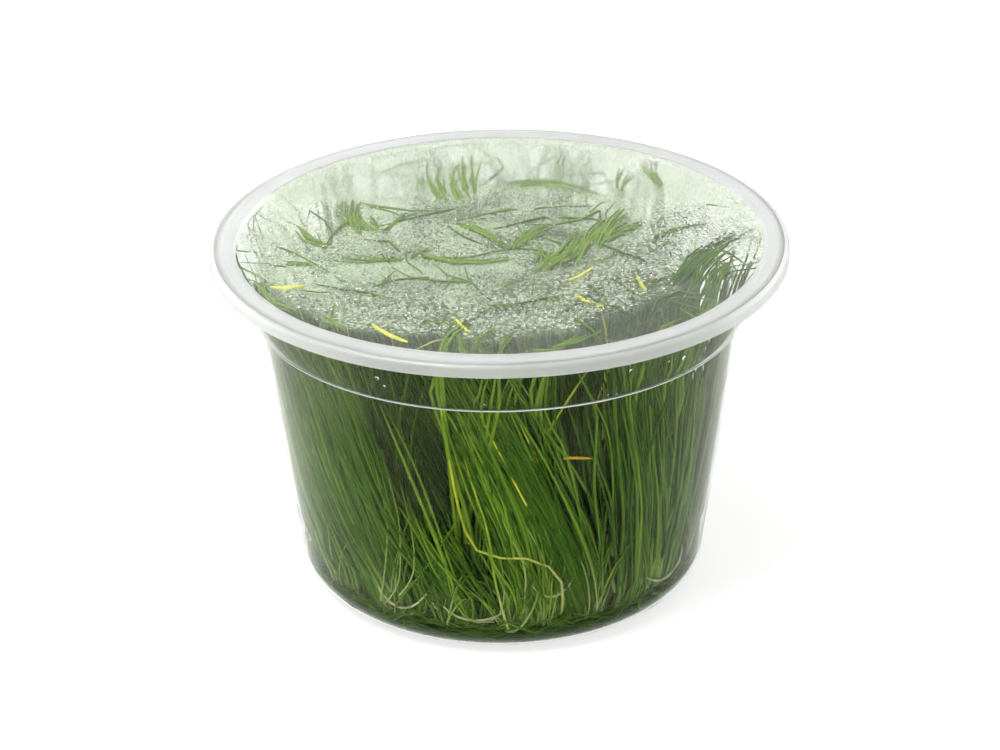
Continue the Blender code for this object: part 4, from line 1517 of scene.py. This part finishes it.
def off_scraps(x, y):
    """0 over a scrap that sticks under the film, 1 a little way off."""
    nearest = SCRAP_HALO
    for start, end in SCRAPS:
        way = Vector(end) - Vector(start)
        along = max(0.0, min(1.0, (Vector((x, y)) - Vector(start)).dot(way) / way.length_squared))
        nearest = min(nearest, (Vector((x, y)) - Vector(start) - way * along).length)
    return float(smooth((nearest / SCRAP_HALO - 0.5) * 2.0))


# How close the drops are, the least distance between them and how flat they are
FILM_SPREAD = {"Most per area": 2.0e6, "Apart": 0.00060, "Flatness": 0.75}
WALL_SPREAD = {"Most per area": 0.16e6, "Apart": 0.0012, "Flatness": 0.4}


def condense(thing, spread, seed, settings, material, tree):
    """Grow drops on a sheet with painted beads, and finish it as a piece."""
    values = {
        **spread,
        "Smallest": settings.smallest,
        "Largest": settings.largest,
        "Seed": seed,
        "Material": material,
    }
    grow_through(thing, tree, values)
    finish_piece(thing)


def make_film_drops(settings, wave, material, tree):
    """Beads under the film: thick towards the front of the fogged part, fine behind."""
    def height(x, y):
        return FILM_FOOT - DROP_GAP - 0.16 + film_wave(x, y, wave / MM)

    drops = show("film_drops", disc_mesh("film_drops", MOUTH_RADIUS - 1.2, SHEET_STEP, height))
    marks = [mist_at(point.co.x / MM, point.co.y / MM) for point in drops.data.vertices]
    free = [off_scraps(point.co.x / MM, point.co.y / MM) for point in drops.data.vertices]
    paint(drops.data, "beads", [mark[2] * share for mark, share in zip(marks, free)])
    paint(drops.data, "bead_size", [mark[3] for mark in marks])
    condense(drops, FILM_SPREAD, settings.seed, settings, material, tree)


def make_wall_drops(settings, material, tree):
    """Drops on the inner face of the upper wall, most of them along the shoulder and under the rim."""
    heights = np.linspace(SHOULDER_TOP + 0.4, MOUTH_FOOT - 0.6, 12)
    profile = [(float(inner_radius(z)) - 0.3, float(z)) for z in heights]
    drops = turned("wall_drops", profile, SHEET_TURN_STEPS)
    settle(drops)
    mesh = drops.data
    beads = []
    for point in mesh.vertices:
        x, y, z = point.co / MM
        patches = noise.noise(Vector((x * 0.09, y * 0.09, z * 0.12))) * 0.5 + 0.5
        low = 1.0 - float(smooth((z - SHOULDER_TOP) / 4.0))
        front_right = float(smooth((x - 12.0) / 8.0) * smooth((6.0 - y) / 12.0))
        scattered = float(smooth((patches - 0.5) / 0.3)) * (0.3 + 0.7 * low)
        beads.append(min(1.0, 0.05 + scattered + 0.45 * front_right))
    paint(mesh, "beads", beads)
    paint(mesh, "bead_size", np.ones(len(mesh.vertices)))
    condense(drops, WALL_SPREAD, settings.seed + 1, settings, material, tree)


def make_gel(settings):
    """The clear layer of gel, rounded where it climbs the wall a little."""
    foot = FLOOR + GEL_GAP
    profile = [(0.0, GEL_TOP - GEL_CLIMB)]
    for share in np.linspace(0.1, 1.0, 10):
        profile.append((inner_radius(GEL_TOP, GEL_GAP) * share, GEL_TOP - GEL_CLIMB * (1.0 - share ** 12)))
    for z in np.linspace(GEL_TOP, foot, 9)[1:]:
        profile.append((float(inner_radius(z, GEL_GAP)), float(z)))
    profile += [(CORNER_X * share, foot) for share in (0.75, 0.5, 0.25, 0.0)]
    gel = turned("culture_gel", profile, GEL_TURN_STEPS)
    settle(gel)
    gel.data.materials.clear()
    gel.data.materials.append(gel_material(settings))
    gel.data.shade_smooth()
    gel.data.set_sharp_from_angle(angle=math.radians(60.0))
    finish_piece(gel, ["nutrient_gel"])


# The stage: floor, soft light and the camera at the photograph's viewing angle

CAMERA_DISTANCE = 0.650
CAMERA_SIDE = -0.00015
CAMERA_ELEVATION = 0.4215
CAMERA_PITCH = 0.4575
CAMERA_ROLL = -0.013
CAMERA_LENS = 135.7
FLOOR_SIZE = 8.0
FLOOR_BELOW = 0.0002
KEY_PLACE = (-0.45, -0.35, 0.95)
KEY_SIZE = 0.7


def make_floor(settings):
    mesh = bpy.data.meshes.new("floor")
    shape = bmesh.new()
    bmesh.ops.create_grid(shape, x_segments=8, y_segments=8, size=FLOOR_SIZE / 2)
    shape.to_mesh(mesh)
    shape.free()
    mesh.materials.append(floor_material(settings))
    floor = show("floor", mesh)
    floor.location.z = -FLOOR_BELOW


def make_camera():
    camera = bpy.data.objects.new("camera", bpy.data.cameras.new("camera"))
    bpy.context.scene.collection.objects.link(camera)
    camera.data.lens = CAMERA_LENS
    camera.data.sensor_width = 36.0
    camera.data.clip_start = 0.01
    camera.data.clip_end = 20.0
    forward = Vector((0.0, math.cos(CAMERA_PITCH), -math.sin(CAMERA_PITCH)))
    level = Vector((1.0, 0.0, 0.0))
    above = level.cross(forward)
    right = level * math.cos(CAMERA_ROLL) + above * math.sin(CAMERA_ROLL)
    up = right.cross(forward)
    turn = Matrix((right, up, -forward)).transposed()
    rim_height = CUP_HEIGHT * MM
    place = Vector((
        CAMERA_SIDE,
        -CAMERA_DISTANCE * math.cos(CAMERA_ELEVATION),
        rim_height + CAMERA_DISTANCE * math.sin(CAMERA_ELEVATION),
    ))
    camera.matrix_world = Matrix.Translation(place) @ turn.to_4x4()
    bpy.context.scene.camera = camera


def make_light(name, place, size, power):
    lamp = bpy.data.lights.new(name, "AREA")
    lamp.shape = "DISK"
    lamp.size = size
    lamp.energy = power
    light = bpy.data.objects.new(name, lamp)
    bpy.context.scene.collection.objects.link(light)
    aim = Vector(place) - Vector((0.0, 0.0, CUP_HEIGHT * MM / 2))
    light.matrix_world = Matrix.Translation(place) @ aim.to_track_quat("Z", "Y").to_matrix().to_4x4()


def make_surround(settings):
    world = bpy.data.worlds.new("surround")
    world.use_nodes = True
    sheet = Sheet(world.node_tree)
    background = world.node_tree.nodes["Background"]
    sheet.feed(background.inputs["Color"], (1.0, 1.0, 1.0))
    background.inputs["Strength"].default_value = settings.sky
    bpy.context.scene.world = world


def make_stage(settings):
    make_floor(settings)
    make_camera()
    make_light("key", KEY_PLACE, KEY_SIZE, settings.key)
    make_surround(settings)
    scene = bpy.context.scene
    scene.view_settings.view_transform = "Standard"
    scene.cycles.max_bounces = 16
    scene.cycles.transmission_bounces = 16
    scene.cycles.transparent_max_bounces = 24


# Operators, one for each piece or group of like pieces

class HAIRGRASS_OT_stage(bpy.types.Operator):
    """Lay the floor, set the soft light and place the camera"""
    bl_idname = "hairgrass.stage"
    bl_label = "Stage"

    def execute(self, context):
        make_stage(context.scene.hairgrass_stage)
        return {"FINISHED"}


class HAIRGRASS_OT_cup(bpy.types.Operator):
    """Turn the clear cup with its milky rim"""
    bl_idname = "hairgrass.cup"
    bl_label = "Clear cup"

    def execute(self, context):
        make_cup(context.scene.hairgrass_cup)
        return {"FINISHED"}


class HAIRGRASS_OT_gel(bpy.types.Operator):
    """Pour the layer of culture gel"""
    bl_idname = "hairgrass.gel"
    bl_label = "Culture gel"

    def execute(self, context):
        make_gel(context.scene.hairgrass_gel)
        return {"FINISHED"}


class HAIRGRASS_OT_tufts(bpy.types.Operator):
    """Grow the blades of every plantlet"""
    bl_idname = "hairgrass.tufts"
    bl_label = "Tufts of grass"

    def execute(self, context):
        make_tufts(context.scene.hairgrass_grass)
        return {"FINISHED"}


class HAIRGRASS_OT_runners(bpy.types.Operator):
    """Lay the pale runners and the fine roots"""
    bl_idname = "hairgrass.runners"
    bl_label = "Runners and roots"

    def execute(self, context):
        make_runners()
        make_roots(context.scene.hairgrass_grass.seed)
        return {"FINISHED"}


class HAIRGRASS_OT_scraps(bpy.types.Operator):
    """Stick the yellowed cut ends under the film"""
    bl_idname = "hairgrass.scraps"
    bl_label = "Loose scraps"

    def execute(self, context):
        make_scraps()
        return {"FINISHED"}


class HAIRGRASS_OT_film(bpy.types.Operator):
    """Seal the cup with its film and the mist under it"""
    bl_idname = "hairgrass.film"
    bl_label = "Film and mist"

    def execute(self, context):
        settings = context.scene.hairgrass_film
        make_film(settings)
        make_mist(settings)
        make_wall_mist(settings)
        return {"FINISHED"}


class HAIRGRASS_OT_drops(bpy.types.Operator):
    """Scatter the condensation under the film and on the upper wall"""
    bl_idname = "hairgrass.drops"
    bl_label = "Condensation drops"

    def execute(self, context):
        settings = context.scene.hairgrass_drops
        material = water_material()
        tree = drop_tree()
        make_film_drops(settings, context.scene.hairgrass_film.wave, material, tree)
        make_wall_drops(settings, material, tree)
        return {"FINISHED"}


OPERATORS = (
    HAIRGRASS_OT_stage,
    HAIRGRASS_OT_cup,
    HAIRGRASS_OT_gel,
    HAIRGRASS_OT_tufts,
    HAIRGRASS_OT_runners,
    HAIRGRASS_OT_scraps,
    HAIRGRASS_OT_film,
    HAIRGRASS_OT_drops,
)

SETTINGS = (
    ("hairgrass_stage", StageSettings),
    ("hairgrass_cup", CupSettings),
    ("hairgrass_gel", GelSettings),
    ("hairgrass_grass", GrassSettings),
    ("hairgrass_film", FilmSettings),
    ("hairgrass_drops", DropSettings),
)


class HAIRGRASS_PT_panel(bpy.types.Panel):
    """Lists the settings and the operators of the culture cup"""
    bl_label = "Hairgrass cup"
    bl_idname = "HAIRGRASS_PT_panel"
    bl_space_type = "VIEW_3D"
    bl_region_type = "UI"
    bl_category = "Hairgrass"

    def draw(self, context):
        for name, group in SETTINGS:
            box = self.layout.box()
            settings = getattr(context.scene, name)
            for field in group.__annotations__:
                box.prop(settings, field)
        for operator in OPERATORS:
            self.layout.operator(operator.bl_idname)


def register():
    for name, group in SETTINGS:
        bpy.utils.register_class(group)
        setattr(bpy.types.Scene, name, PointerProperty(type=group))
    for operator in OPERATORS:
        bpy.utils.register_class(operator)
    bpy.utils.register_class(HAIRGRASS_PT_panel)


def unregister():
    bpy.utils.unregister_class(HAIRGRASS_PT_panel)
    for operator in reversed(OPERATORS):
        bpy.utils.unregister_class(operator)
    for name, group in reversed(SETTINGS):
        delattr(bpy.types.Scene, name)
        bpy.utils.unregister_class(group)


def main():
    register()
    bpy.ops.hairgrass.stage()
    bpy.ops.hairgrass.cup()
    bpy.ops.hairgrass.gel()
    bpy.ops.hairgrass.tufts()
    bpy.ops.hairgrass.runners()
    bpy.ops.hairgrass.scraps()
    bpy.ops.hairgrass.film()
    bpy.ops.hairgrass.drops()


if __name__ == "__main__":
    main()
